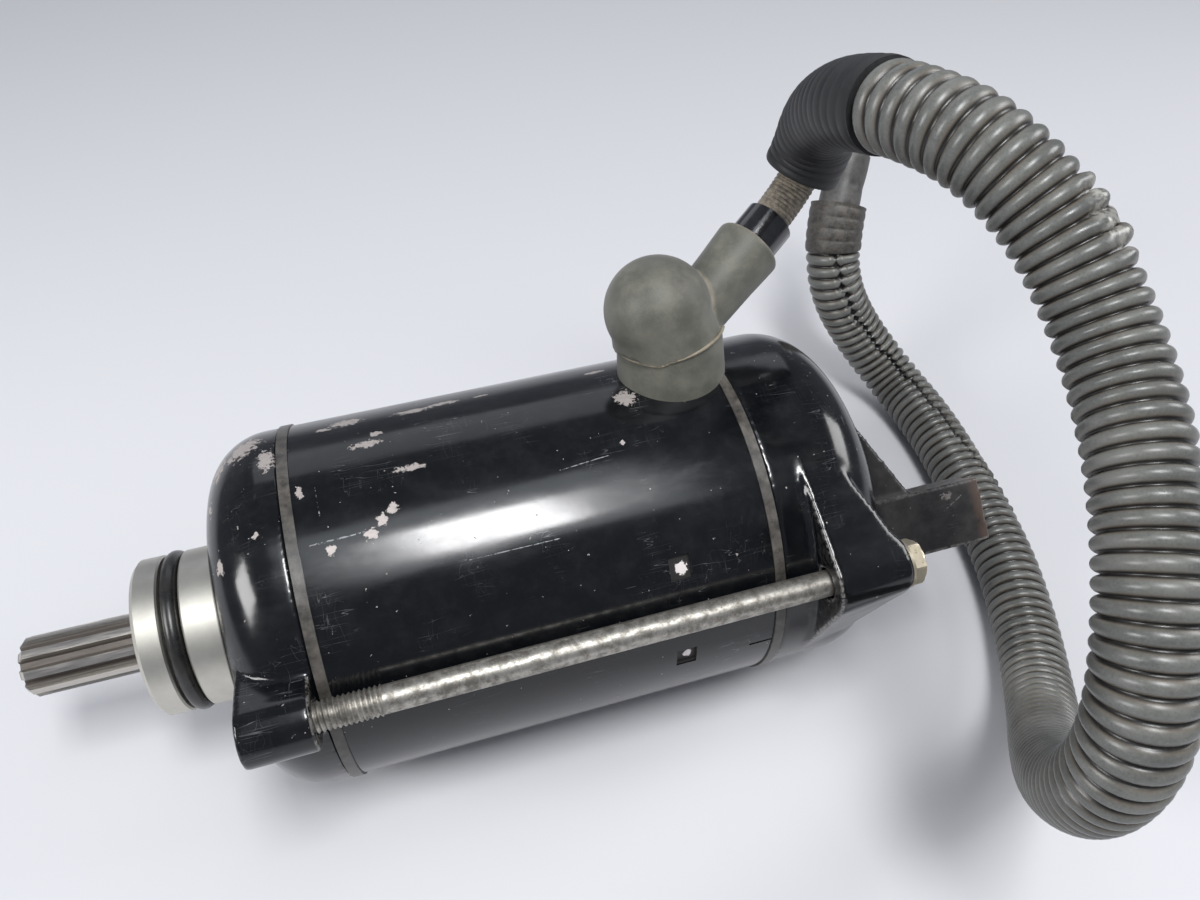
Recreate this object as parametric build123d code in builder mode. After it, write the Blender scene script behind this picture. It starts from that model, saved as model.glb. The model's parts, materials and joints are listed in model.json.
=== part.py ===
from build123d import *
import os
from math import acos, cos, degrees, pi, radians, sin, tan

# Motorcycle starter motor with outside through-bolts, and the cable that feeds it.
# Millimetres. X runs along the shaft from the toothed end to the rear cover, Z is up with the motor
# lying on a bench, and the origin is on the shaft axis at the shoulder behind the nose pilot.

os.makedirs("parts", exist_ok=True)

# Places along the shaft
SHAFT_TIP = -36.3
PILOT_FACE = -15.3
FRONT_JOINT = 13.7
YOKE_FRONT = 15.5
YOKE_REAR = 89.5
REAR_JOINT = 91.3
REAR_FACE = 113.5
REAR_BOSS_END = 120.5

# Radii of the body
BODY_R = 32.0
BORE_R = 29.0
SEAL_R = 32.3
PILOT_R = 14.0
SHOULDER_R = 11.0
REAR_BOSS_R = 11.0

# Shaft and what carries it
TOOTH_COUNT = 9
TOOTH_TIP_R = 5.3
TOOTH_ROOT_R = 3.6
TOOTH_END = -16.4
JOURNAL_R = 5.99
BEARING_FRONT = 2.0
BEARING_REAR = 10.0
BEARING_R = 14.0
BALL_COUNT = 8
BALL_R = 2.35
BALL_CIRCLE_R = 10.0
REAR_JOURNAL_R = 3.98
BUSH_FRONT = 106.0
BUSH_REAR = 117.0
BUSH_R = 7.0

# Through-bolts on opposite sides of the yoke
BOLT_CIRCLE_R = 35.0
BOLT_ELEVATIONS = (24.4, 204.4)
BOLT_SHANK_R = 2.25
BOLT_THREAD_R = 2.5
THREAD_START = 3.3
THREAD_END = 23.1
HEX_FLATS = 7.0
HEX_HEIGHT = 3.0
FRONT_EAR_START = 1.8
FRONT_EAR_END = 12.9
FRONT_EAR_R = 5.0
FRONT_WEB_ROOT = 6.5
REAR_EAR_START = 97.3
REAR_EAR_END = 111.2
REAR_EAR_R = 5.9
REAR_EAR_DRAFT = 5.5

# Rear mounting arm
ARM_EDGE_Y = -17.0
ARM_EDGE_Z = 12.3
ARM_TILT = 41.6
ARM_WIDTH = 11.8
ARM_THICKNESS = 8.0
ARM_END = 136.0
ARM_HOLE_R = 2.5
ARM_HOLE_DEPTH = 12.0
WEB_DROP = 0.5
WEB_THICKNESS = 3.2

# Armature, magnets and brushes
CORE_FRONT = 26.0
CORE_REAR = 68.0
CORE_R = 22.4
SLOT_COUNT = 16
SLOT_FLOOR_R = 13.2
SLOT_TOP_R = 20.6
COMMUTATOR_FRONT = 77.0
COMMUTATOR_REAR = 92.0
COMMUTATOR_R = 13.0
RISER_R = 14.4
SEGMENT_COUNT = 24
MAGNET_FRONT = 22.0
MAGNET_REAR = 72.0
MAGNET_INNER_R = 23.0
BRUSH_COUNT = 4
BRUSH_X = 84.1
BRUSH_LENGTH = 7.8
BRUSH_WIDTH = 6.0
BRUSH_BACK_R = 22.5
BOX_FLOOR_R = 15.2
BOX_CAP_R = 27.6
BOX_WALL = 0.8
PLATE_FRONT = 93.6
PLATE_REAR = 95.2

# Terminal on the yoke; levels are distances from the shaft axis along the stud
TERMINAL_X = 83.2
TERMINAL_ELEVATION = 106.5
STUD_R = 3.0
STUD_END = 49.0
INSULATOR_LEVEL = 26.6
WASHER_LEVEL = 34.1
LUG_LEVEL = 40.0
LUG_THICKNESS = 1.5
NUT_FLATS = 10.0
BOOT_BASE_R = 9.1
BOOT_BORE_R = 7.7
DOME_R = 9.4
DOME_LEVEL = 44.0
DOME_SHIFT = -1.9
NECK_LENGTH = 23.2
NECK_BORE_R = 4.65

# Cable and what covers it
CABLE_R = 3.2
SLEEVE_BORE_R = 3.25
COLLAR_R = 4.6
COLLAR_START = 19.0
COLLAR_END = 29.0
WRAP_R = 3.6
CONDUIT_R = 6.5
CONDUIT_BORE_R = 4.8
TAPE_R = 6.9
CABLE_START = 15.0

# Middle line of the cable, from the ring lug under the boot to the far ring lug; the first run
# lies along the boot's neck, which starts on the terminal stud
NECK_START = Vector(83.2, 10.4, 36.0)
CABLE_ROUTE = [
    Vector(95.046, 17.105, 42.303),
    Vector(109.7, 25.4, 50.1),
    Vector(113.7, 26.6, 58.3),
    Vector(113.3, 24.0, 66.6),
    Vector(111.3, 16.3, 73.2),
    Vector(109.5, 7.6, 78.5),
    Vector(109.4, -3.1, 83.0),
    Vector(113.5, -15.3, 84.2),
    Vector(119.5, -27.3, 78.1),
    Vector(122.1, -40.6, 68.4),
    Vector(118.6, -55.7, 61.6),
    Vector(113.6, -69.2, 52.9),
    Vector(110.9, -77.7, 41.2),
    Vector(111.6, -78.4, 26.5),
    Vector(118.0, -72.0, 9.0),
    Vector(129.5, -62.0, -9.0),
    Vector(142.0, -49.5, -22.5),
    Vector(151.0, -33.0, -25.8),
    Vector(157.5, -14.0, -25.8),
    Vector(160.5, 7.0, -25.8),
    Vector(162.5, 27.0, -25.8),
    Vector(160.5, 44.0, -24.5),
    Vector(152.0, 54.5, -13.5),
    Vector(145.0, 57.5, 0.0),
    Vector(145.5, 63.5, 12.5),
    Vector(150.0, 70.0, 20.5),
]


def polar(radius, elevation):
    """Y and Z of a point seen along the shaft, with elevation counted from -Y towards +Z."""
    return -radius * cos(radians(elevation)), radius * sin(radians(elevation))


def across(x):
    """Plane square to the shaft."""
    return Plane.YZ.offset(x)


def facing_out(x, elevation, level):
    """Plane square to a line that leaves the shaft axis at x, with its own x along the shaft."""
    y, z = polar(1.0, elevation)
    return Plane(origin=(x, y * level, z * level), x_dir=(1, 0, 0), z_dir=(0, y, z))


def disc(plane, outer, inner=0.0):
    """Face between two circles, or a whole circle, on a plane."""
    with BuildSketch(plane) as face:
        Circle(outer)
        if inner:
            Circle(inner, mode=Mode.SUBTRACT)
    return face.sketch


def half_section(*points):
    """Face beside the shaft axis from places along the shaft and radii."""
    with BuildSketch(Plane.XZ) as face:
        with BuildLine():
            Polyline(*points, close=True)
        make_face()
    return face.sketch


def spun(origin, direction, *points):
    """Solid turned about any line, from places along that line and radii."""
    side = direction.cross(Vector(0, 1, 0)).normalized()
    with BuildPart() as body:
        with BuildSketch(Plane(origin=origin, x_dir=direction, z_dir=side)):
            with BuildLine():
                Polyline(*points, close=True)
            make_face()
        revolve(axis=Axis(origin, direction))
    return body.part


def save(builder, name):
    """Label a finished sub-part and write its file."""
    builder.part.label = name
    export_step(builder.part, f"parts/{name}.step")


BOLT_PLACES = [polar(BOLT_CIRCLE_R, elevation) for elevation in BOLT_ELEVATIONS]

# ------------------------------------------------------------------ front cover and its seals


def front_ear(elevation):
    """Outline of a tapered web that ends round its bolt."""
    y, z = polar(1.0, elevation)
    centre = Vector(y, z) * BOLT_CIRCLE_R
    root = Vector(y, z) * 24.0
    side = Vector(-z, y)
    with BuildSketch(across(FRONT_EAR_START)) as outline:
        with BuildLine():
            Polyline(
                centre + side * FRONT_EAR_R,
                centre - side * FRONT_EAR_R,
                root - side * FRONT_WEB_ROOT,
                root + side * FRONT_WEB_ROOT,
                close=True,
            )
        make_face()
        with Locations(centre):
            Circle(FRONT_EAR_R)
    return outline.sketch


with BuildPart() as front_cover:
    with BuildSketch(Plane.XZ):
        with BuildLine():
            Polyline(
                (0, BODY_R - SHOULDER_R), (0, PILOT_R), (PILOT_FACE, PILOT_R), (PILOT_FACE, 0),
                (FRONT_JOINT, 0),
            )
            Polyline((FRONT_JOINT, 0), (FRONT_JOINT, BODY_R), (SHOULDER_R, BODY_R))
            RadiusArc((SHOULDER_R, BODY_R), (0, BODY_R - SHOULDER_R), -SHOULDER_R)
        make_face()
    revolve(axis=Axis.X)
    chamfer(front_cover.edges().group_by(Axis.X)[0], length=0.8)
    for elevation in BOLT_ELEVATIONS:
        extrude(front_ear(elevation), amount=FRONT_EAR_END - FRONT_EAR_START)
    with BuildSketch(Plane.XZ):
        with BuildLine():
            Polyline((10, BORE_R), (FRONT_JOINT, BORE_R), (FRONT_JOINT, 17.5), (4.5, 17.5), (3.6, 20))
            ThreePointArc((3.6, 20), (5.6, 25.6), (10, BORE_R))
        make_face()
    revolve(axis=Axis.X, mode=Mode.SUBTRACT)
    shaft_way = half_section(
        (PILOT_FACE, 0), (PILOT_FACE, 6.6), (-6.4, 6.6), (-6.4, 10), (BEARING_FRONT, 10),
        (BEARING_FRONT, BEARING_R + 0.02), (10.2, BEARING_R + 0.02), (10.2, 14.7), (11.3, 14.7),
        (11.3, BEARING_R + 0.02), (FRONT_JOINT, BEARING_R + 0.02), (FRONT_JOINT, 0),
    )
    revolve(shaft_way, axis=Axis.X, mode=Mode.SUBTRACT)
    o_ring_groove = half_section((-10.8, 11.4), (-7.4, 11.4), (-7.4, 15), (-10.8, 15))
    revolve(o_ring_groove, axis=Axis.X, mode=Mode.SUBTRACT)
    with BuildSketch(across(FRONT_EAR_START - 1)):
        with Locations(*BOLT_PLACES):
            Circle(BOLT_THREAD_R + 0.02)
    extrude(amount=20, mode=Mode.SUBTRACT)
save(front_cover, "front_cover")

# The ring is squeezed flat in its groove, as it sits with the nose pushed home in its bore.
with BuildPart() as nose_o_ring:
    with BuildSketch(Plane.XZ):
        with Locations((-9.1, 12.695)):
            RectangleRounded(3.1, 2.55, 1.1)
    revolve(axis=Axis.X)
save(nose_o_ring, "nose_o_ring")

with BuildPart() as front_joint_seal:
    extrude(disc(across(FRONT_JOINT), SEAL_R, BORE_R + 0.5), amount=YOKE_FRONT - FRONT_JOINT)
save(front_joint_seal, "front_joint_seal")

with BuildPart() as rear_joint_seal:
    extrude(disc(across(YOKE_REAR), SEAL_R, BORE_R + 0.5), amount=REAR_JOINT - YOKE_REAR)
save(rear_joint_seal, "rear_joint_seal")

# ------------------------------------------------------------------ yoke

with BuildPart() as yoke_tube:
    extrude(disc(across(YOKE_FRONT), BODY_R, BORE_R), amount=YOKE_REAR - YOKE_FRONT)
    extrude(disc(facing_out(TERMINAL_X, TERMINAL_ELEVATION, 20), 4.6), amount=20, mode=Mode.SUBTRACT)
    for elevation in (38.0, 4.3):
        with BuildSketch(facing_out(73.3, elevation, BODY_R - 0.8)):
            Rectangle(3.6, 4.2)
        extrude(amount=3, mode=Mode.SUBTRACT)
    with BuildSketch(facing_out(87.2, 1.3, BODY_R - 0.4)):
        Rectangle(4.2, 0.5)
    extrude(amount=2, mode=Mode.SUBTRACT)
save(yoke_tube, "yoke_tube")

# ------------------------------------------------------------------ rear cover


def rear_ear(elevation):
    """Ear whose flats run off the round cover, sloping away behind its bolt seat."""
    tangent = degrees(acos((BODY_R - REAR_EAR_R) / BOLT_CIRCLE_R))
    place = Vector(*polar(BOLT_CIRCLE_R, elevation))
    with BuildPart() as ear:
        with BuildSketch(across(REAR_EAR_START)):
            with BuildLine():
                Polyline(
                    (0, 0),
                    Vector(*polar(BODY_R, elevation - tangent)),
                    place + Vector(*polar(REAR_EAR_R, elevation - tangent)),
                    place + Vector(*polar(REAR_EAR_R, elevation + tangent)),
                    Vector(*polar(BODY_R, elevation + tangent)),
                    close=True,
                )
            make_face()
            with Locations(place):
                Circle(REAR_EAR_R)
        extrude(amount=REAR_EAR_END - REAR_EAR_START, taper=REAR_EAR_DRAFT)
        slope = spun(
            Vector(0, place.X, place.Y), Vector(1, 0, 0),
            (REAR_EAR_START, 0), (REAR_EAR_START, 40), (95.5, 40), (109.6, 6.6), (110.7, 5.5),
            (REAR_EAR_END, 4.8), (REAR_EAR_END, 0),
        )
        add(slope, mode=Mode.INTERSECT)
    return ear.part


ARM_FACE = Plane(
    origin=(0, ARM_EDGE_Y, ARM_EDGE_Z), x_dir=(1, 0, 0),
    z_dir=(0, -sin(radians(ARM_TILT)), cos(radians(ARM_TILT))),
)

with BuildPart() as rear_cover:
    with BuildSketch(Plane.XZ):
        with BuildLine():
            Polyline(
                (REAR_FACE - SHOULDER_R, BODY_R), (REAR_JOINT, BODY_R), (REAR_JOINT, 0), (REAR_BOSS_END, 0),
            )
            Polyline((REAR_BOSS_END, 0), (REAR_BOSS_END, REAR_BOSS_R), (REAR_FACE, REAR_BOSS_R))
            Line((REAR_FACE, REAR_BOSS_R), (REAR_FACE, BODY_R - SHOULDER_R))
            RadiusArc((REAR_FACE, BODY_R - SHOULDER_R), (REAR_FACE - SHOULDER_R, BODY_R), -SHOULDER_R)
        make_face()
    revolve(axis=Axis.X)
    for elevation in BOLT_ELEVATIONS:
        add(rear_ear(elevation))
    with BuildSketch(ARM_FACE):
        Polygon((108, 0), (108, -ARM_WIDTH), (ARM_END, -ARM_WIDTH), (ARM_END, 0), align=None)
    extrude(amount=-ARM_THICKNESS)
    with BuildSketch(ARM_FACE.offset(-WEB_DROP)):
        Polygon((108, -1), (108, 16.5), (113.3, 16.5), (122.3, 0), (122.3, -1), align=None)
    extrude(amount=-WEB_THICKNESS)
    hole_centre = ARM_FACE.from_local_coords((ARM_END, -ARM_WIDTH / 2, -ARM_THICKNESS / 2))
    arm_hole = Plane(origin=hole_centre, x_dir=(0, 1, 0), z_dir=(-1, 0, 0))
    extrude(disc(arm_hole, ARM_HOLE_R), amount=ARM_HOLE_DEPTH, mode=Mode.SUBTRACT)
    with BuildSketch(Plane.XZ):
        with BuildLine():
            Polyline((103.5, BORE_R), (REAR_JOINT, BORE_R), (REAR_JOINT, 0), (BUSH_REAR + 0.2, 0))
            Polyline(
                (BUSH_REAR + 0.2, 0), (BUSH_REAR + 0.2, BUSH_R), (BUSH_FRONT, BUSH_R), (BUSH_FRONT, 9.5),
            )
            Polyline((BUSH_FRONT, 9.5), (109.9, 9.5), (109.9, 20))
            ThreePointArc((109.9, 20), (107.9, 26.1), (103.5, BORE_R))
        make_face()
    revolve(axis=Axis.X, mode=Mode.SUBTRACT)
    with BuildSketch(across(REAR_EAR_START - 1)):
        with Locations(*BOLT_PLACES):
            Circle(BOLT_SHANK_R + 0.4)
    extrude(amount=20, mode=Mode.SUBTRACT)
save(rear_cover, "rear_cover")

with BuildPart() as through_bolts:
    with BuildSketch(across(THREAD_START)):
        with Locations(*BOLT_PLACES):
            Circle(BOLT_THREAD_R)
    extrude(amount=THREAD_END - THREAD_START)
    with BuildSketch(across(THREAD_END)):
        with Locations(*BOLT_PLACES):
            Circle(BOLT_SHANK_R)
    extrude(amount=REAR_EAR_END - THREAD_END)
    with BuildSketch(across(REAR_EAR_END)):
        with Locations(*BOLT_PLACES):
            RegularPolygon(HEX_FLATS / 2, 6, major_radius=False, rotation=20)
    extrude(amount=HEX_HEIGHT)
save(through_bolts, "through_bolts")

# ------------------------------------------------------------------ shaft and bearings

with BuildPart() as armature_shaft:
    shaft_section = half_section(
        (SHAFT_TIP, 0), (SHAFT_TIP, TOOTH_TIP_R), (-14.4, TOOTH_TIP_R), (-14.4, JOURNAL_R),
        (BEARING_REAR, JOURNAL_R), (BEARING_REAR, 7.2), (24, 7.2), (24, 8), (70, 8), (70, 6), (104, 6),
        (104, REAR_JOURNAL_R), (BUSH_REAR, REAR_JOURNAL_R), (BUSH_REAR, 0),
    )
    revolve(shaft_section, axis=Axis.X)
    chamfer(armature_shaft.edges().group_by(Axis.X)[0], length=0.9)
    with BuildSketch(across(SHAFT_TIP)):
        with PolarLocations(0, TOOTH_COUNT):
            Polygon((TOOTH_ROOT_R, -0.5), (5.8, -1.35), (5.8, 1.35), (TOOTH_ROOT_R, 0.5), align=None)
    extrude(amount=TOOTH_END - SHAFT_TIP, mode=Mode.SUBTRACT)
save(armature_shaft, "armature_shaft")

BALL_PLANE = across((BEARING_FRONT + BEARING_REAR) / 2)


def race(inner, outer):
    """Bearing ring with its ball groove."""
    with BuildPart() as body:
        extrude(disc(across(BEARING_FRONT), outer, inner), amount=BEARING_REAR - BEARING_FRONT)
        with BuildSketch(Plane.XZ):
            with Locations((BALL_PLANE.origin.X, BALL_CIRCLE_R)):
                Circle(BALL_R + 0.06)
        revolve(axis=Axis.X, mode=Mode.SUBTRACT)
    return body.part


with BuildPart() as bearing_outer_ring:
    add(race(11.6, BEARING_R))
save(bearing_outer_ring, "bearing_outer_ring")

with BuildPart() as bearing_inner_ring:
    add(race(JOURNAL_R + 0.01, 8.4))
save(bearing_inner_ring, "bearing_inner_ring")

with BuildPart() as bearing_balls:
    with Locations(BALL_PLANE):
        with PolarLocations(BALL_CIRCLE_R, BALL_COUNT):
            Sphere(BALL_R)
save(bearing_balls, "bearing_balls")

with BuildPart() as bearing_cage:
    extrude(disc(BALL_PLANE.offset(-3.2), 11.1, 8.9), amount=6.4)
    for number in range(BALL_COUNT):
        pocket = facing_out(BALL_PLANE.origin.X, 180 + 360 * number / BALL_COUNT, 7)
        extrude(disc(pocket, BALL_R + 0.08), amount=6, mode=Mode.SUBTRACT)
save(bearing_cage, "bearing_cage")

with BuildPart() as shaft_seal:
    seal_section = half_section(
        (-6.4, 9.98), (-1.4, 9.98), (-1.4, 8.6), (-5.2, 8.6), (-5.2, 7.6), (-2.2, 7), (-2.6, 6.04),
        (-3.6, 6.04), (-6.4, 6.8),
    )
    revolve(seal_section, axis=Axis.X)
save(shaft_seal, "shaft_seal")

with BuildPart() as bearing_circlip:
    with BuildSketch(across(10.25)):
        Circle(14.6)
        Circle(12.4, mode=Mode.SUBTRACT)
        with Locations((0, -13.5)):
            Rectangle(5, 4, mode=Mode.SUBTRACT)
    extrude(amount=1.0)
save(bearing_circlip, "bearing_circlip")

with BuildPart() as steel_thrust_washer:
    extrude(disc(across(104.05), BUSH_R, 4.1), amount=0.7)
save(steel_thrust_washer, "steel_thrust_washer")

with BuildPart() as fibre_thrust_washer:
    extrude(disc(across(104.85), BUSH_R, 4.1), amount=1.0)
save(fibre_thrust_washer, "fibre_thrust_washer")

with BuildPart() as rear_bush:
    extrude(disc(across(BUSH_FRONT), BUSH_R, REAR_JOURNAL_R + 0.04), amount=BUSH_REAR - BUSH_FRONT)
save(rear_bush, "rear_bush")

# ------------------------------------------------------------------ armature

with BuildPart() as armature_core:
    with BuildSketch(across(CORE_FRONT)):
        Circle(CORE_R)
        Circle(8, mode=Mode.SUBTRACT)
        with PolarLocations((SLOT_FLOOR_R + SLOT_TOP_R) / 2, SLOT_COUNT):
            Rectangle(SLOT_TOP_R - SLOT_FLOOR_R, 3.0, mode=Mode.SUBTRACT)
        with PolarLocations(CORE_R - 0.5, SLOT_COUNT):
            Rectangle(4.0, 1.4, mode=Mode.SUBTRACT)
    extrude(amount=CORE_REAR - CORE_FRONT)
save(armature_core, "armature_core")

with BuildPart() as armature_windings:
    with BuildSketch(across(CORE_FRONT - 1)):
        with PolarLocations((SLOT_FLOOR_R + SLOT_TOP_R) / 2, SLOT_COUNT):
            Rectangle(SLOT_TOP_R - SLOT_FLOOR_R - 0.2, 2.8)
    extrude(amount=CORE_REAR - CORE_FRONT + 2)
    front_turns = half_section(
        (18.5, 12.5), (18.5, 19.5), (20.5, 21), (CORE_FRONT, 21), (CORE_FRONT, 9), (21, 9),
    )
    revolve(front_turns, axis=Axis.X)
    rear_turns = half_section(
        (CORE_REAR, 9), (CORE_REAR, 21), (74, 21), (76, 18), (COMMUTATOR_FRONT, 13.5), (COMMUTATOR_FRONT, 9)
    )
    revolve(rear_turns, axis=Axis.X)
save(armature_windings, "armature_windings")

with BuildPart() as commutator_segments:
    extrude(disc(across(COMMUTATOR_FRONT), RISER_R, 9), amount=2)
    extrude(disc(across(COMMUTATOR_FRONT), COMMUTATOR_R, 9), amount=COMMUTATOR_REAR - COMMUTATOR_FRONT)
    with BuildSketch(across(COMMUTATOR_FRONT - 1)):
        with PolarLocations(12, SEGMENT_COUNT):
            Rectangle(8, 0.6)
    extrude(amount=20, mode=Mode.SUBTRACT)
save(commutator_segments, "commutator_segments")

with BuildPart() as commutator_hub:
    extrude(disc(across(COMMUTATOR_FRONT), 9, 6), amount=COMMUTATOR_REAR - COMMUTATOR_FRONT + 0.8)
save(commutator_hub, "commutator_hub")

# ------------------------------------------------------------------ magnets

with BuildPart() as field_magnets:
    with BuildSketch(across(MAGNET_FRONT)):
        Circle(BORE_R - 0.03)
        Circle(MAGNET_INNER_R, mode=Mode.SUBTRACT)
        with PolarLocations(26, 4):
            Rectangle(10, 12, mode=Mode.SUBTRACT)
    extrude(amount=MAGNET_REAR - MAGNET_FRONT)
save(field_magnets, "field_magnets")

with BuildPart() as magnet_clips:
    with BuildSketch(across(MAGNET_FRONT + 2)):
        with PolarLocations(27, 4):
            Rectangle(6, 11)
        Circle(BORE_R - 0.03, mode=Mode.INTERSECT)
        Circle(BORE_R - 0.9, mode=Mode.SUBTRACT)
    extrude(amount=MAGNET_REAR - MAGNET_FRONT - 4)
save(magnet_clips, "magnet_clips")

# ------------------------------------------------------------------ brush gear

BRUSH_ELEVATIONS = [TERMINAL_ELEVATION + 45 + 360 * i / BRUSH_COUNT for i in range(BRUSH_COUNT)]

with BuildPart() as brush_plate:
    extrude(disc(across(PLATE_FRONT), BORE_R - 0.05, 14.5), amount=PLATE_REAR - PLATE_FRONT)
save(brush_plate, "brush_plate")

with BuildPart() as brush_boxes:
    for elevation in BRUSH_ELEVATIONS:
        with BuildSketch(facing_out(BRUSH_X, elevation, BOX_FLOOR_R)):
            Rectangle(BRUSH_LENGTH + 2 * BOX_WALL + 0.16, BRUSH_WIDTH + 2 * BOX_WALL + 0.16)
            Rectangle(BRUSH_LENGTH + 0.16, BRUSH_WIDTH + 0.16, mode=Mode.SUBTRACT)
        extrude(amount=BOX_CAP_R - BOX_FLOOR_R)
        with BuildSketch(facing_out(BRUSH_X, elevation, BOX_CAP_R)):
            Rectangle(BRUSH_LENGTH + 2 * BOX_WALL + 0.16, BRUSH_WIDTH + 2 * BOX_WALL + 0.16)
        extrude(amount=BOX_WALL)
        with BuildSketch(facing_out(91.2, elevation, 17)):
            Rectangle(2 * (PLATE_FRONT - 91.2), BRUSH_WIDTH)
        extrude(amount=7.5)
save(brush_boxes, "brush_boxes")

for number, elevation in enumerate(BRUSH_ELEVATIONS, start=1):
    with BuildPart() as brush:
        with BuildSketch(facing_out(BRUSH_X, elevation, 11)):
            Rectangle(BRUSH_LENGTH, BRUSH_WIDTH)
        extrude(amount=BRUSH_BACK_R - 11)
        extrude(disc(across(70), COMMUTATOR_R + 0.03), amount=30, mode=Mode.SUBTRACT)
    save(brush, f"brush_{number}")

    coil_foot = facing_out(BRUSH_X, elevation, BRUSH_BACK_R + 0.3)
    with BuildPart() as brush_spring:
        with BuildLine() as coil:
            Helix(pitch=1.12, height=4.5, radius=2.1, center=coil_foot.origin, direction=coil_foot.z_dir)
        with BuildSketch(Plane(origin=coil.line @ 0, z_dir=coil.line % 0)):
            Circle(0.25)
        sweep(path=coil.line, is_frenet=True)
    save(brush_spring, f"brush_spring_{number}")

# ------------------------------------------------------------------ terminal

STUD_BASE = Vector(TERMINAL_X, 0, 0)
STUD_DIRECTION = Vector(0, *polar(1.0, TERMINAL_ELEVATION))


def on_stud(level):
    """Plane square to the terminal stud."""
    return facing_out(TERMINAL_X, TERMINAL_ELEVATION, level)


with BuildPart() as terminal_strap:
    with BuildSketch(on_stud(25.8)):
        with Locations((2.05, 0)):
            Rectangle(13.1, 9)
        Circle(STUD_R + 0.05, mode=Mode.SUBTRACT)
    extrude(amount=0.8)
    with BuildSketch(across(90.6)):
        with PolarLocations(25, 1, start_angle=180 - TERMINAL_ELEVATION):
            Rectangle(20, 46)
        Circle(28, mode=Mode.INTERSECT)
        Circle(26, mode=Mode.SUBTRACT)
    extrude(amount=2.0)
save(terminal_strap, "terminal_strap")

with BuildPart() as terminal_stud:
    with BuildSketch(on_stud(23.8)):
        RegularPolygon(4, 6, major_radius=False)
    extrude(amount=2.0)
    extrude(disc(on_stud(25.8), STUD_R), amount=STUD_END - 25.8)
    chamfer(terminal_stud.edges().sort_by(Axis.Z)[-1], length=0.6)
save(terminal_stud, "terminal_stud")

with BuildPart() as inner_insulator:
    extrude(disc(on_stud(INSULATOR_LEVEL), 7, STUD_R + 0.05), amount=1.5)
    extrude(disc(on_stud(INSULATOR_LEVEL), 4.4, STUD_R + 0.05), amount=WASHER_LEVEL - INSULATOR_LEVEL)
save(inner_insulator, "inner_insulator")

with BuildPart() as terminal_o_ring:
    with Locations(on_stud(33.05)):
        Torus(5.5, 1.0)
save(terminal_o_ring, "terminal_o_ring")

with BuildPart() as outer_insulator:
    extrude(disc(on_stud(WASHER_LEVEL), 7, STUD_R + 0.05), amount=1.5)
save(outer_insulator, "outer_insulator")

with BuildPart() as terminal_washer:
    extrude(disc(on_stud(35.6), 6, STUD_R + 0.1), amount=0.8)
save(terminal_washer, "terminal_washer")

with BuildPart() as terminal_nuts:
    for level, height in ((36.4, LUG_LEVEL - 36.4), (42.7, 4.5)):
        with BuildSketch(on_stud(level)):
            RegularPolygon(NUT_FLATS / 2, 6, major_radius=False, rotation=30)
            Circle(STUD_R + 0.05, mode=Mode.SUBTRACT)
        extrude(amount=height)
save(terminal_nuts, "terminal_nuts")

with BuildPart() as spring_washer:
    with BuildSketch(on_stud(LUG_LEVEL + LUG_THICKNESS)):
        Circle(5)
        Circle(STUD_R + 0.1, mode=Mode.SUBTRACT)
        with Locations((-4, 0)):
            Rectangle(4, 0.7, rotation=20, mode=Mode.SUBTRACT)
    extrude(amount=1.2)
save(spring_washer, "spring_washer")

# ------------------------------------------------------------------ boot and cable end

NECK_DIRECTION = (CABLE_ROUTE[1] - NECK_START).normalized()
LUG_SIDE = (NECK_DIRECTION - STUD_DIRECTION * NECK_DIRECTION.dot(STUD_DIRECTION)).normalized()


def on_neck(*points):
    """Solid turned about the boot's neck, from places along it and radii."""
    return spun(NECK_START, NECK_DIRECTION, *points)


with BuildPart() as terminal_boot:
    base = spun(STUD_BASE, STUD_DIRECTION, (28, 0), (28, 9.7), (33.4, 9.7), (33.9, BOOT_BASE_R),
                (39.5, BOOT_BASE_R), (43, 6.5), (43, 0))
    add(base)
    with Locations(on_stud(DOME_LEVEL)):
        with Locations((DOME_SHIFT, 0, 0)):
            Sphere(DOME_R)
    add(on_neck((4, 0), (4, 7.2), (13, 5.4), (20.8, 5.5), (21.4, 6.2), (NECK_LENGTH, 6.2), (NECK_LENGTH, 0)))
    extrude(disc(across(60), BODY_R + 0.05), amount=50, mode=Mode.SUBTRACT)
    extrude(disc(across(YOKE_REAR - 0.1), SEAL_R + 0.05), amount=2, mode=Mode.SUBTRACT)
    hollow = spun(STUD_BASE, STUD_DIRECTION, (25, 0), (25, BOOT_BORE_R), (40.3, BOOT_BORE_R), (40.3, 6.5),
                  (42, 6.5), (42, 0))
    add(hollow, mode=Mode.SUBTRACT)
    with Locations(on_stud(DOME_LEVEL)):
        with Locations((DOME_SHIFT + 1, 0, 0)):
            Sphere(BOOT_BORE_R - 0.1, mode=Mode.SUBTRACT)
    add(on_neck((3, 0), (3, NECK_BORE_R), (25, NECK_BORE_R), (25, 0)), mode=Mode.SUBTRACT)
save(terminal_boot, "terminal_boot")

with BuildPart() as terminal_lug:
    lug_level = STUD_BASE + STUD_DIRECTION * LUG_LEVEL
    with BuildSketch(Plane(origin=lug_level, x_dir=LUG_SIDE, z_dir=STUD_DIRECTION)):
        Circle(6)
        with Locations((6.5, 0)):
            Rectangle(5, 7)
        Circle(STUD_R + 0.1, mode=Mode.SUBTRACT)
    extrude(amount=LUG_THICKNESS)
    add(on_neck((8.5, 0), (8.5, 2.2), (10.5, 3.9), (CABLE_START - 0.01, 3.9), (CABLE_START - 0.01, 0)))
save(terminal_lug, "terminal_lug")

with BuildPart() as boot_collar:
    add(on_neck((COLLAR_START, SLEEVE_BORE_R), (COLLAR_START, COLLAR_R), (COLLAR_END, COLLAR_R),
                (COLLAR_END, SLEEVE_BORE_R)))
save(boot_collar, "boot_collar")

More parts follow.
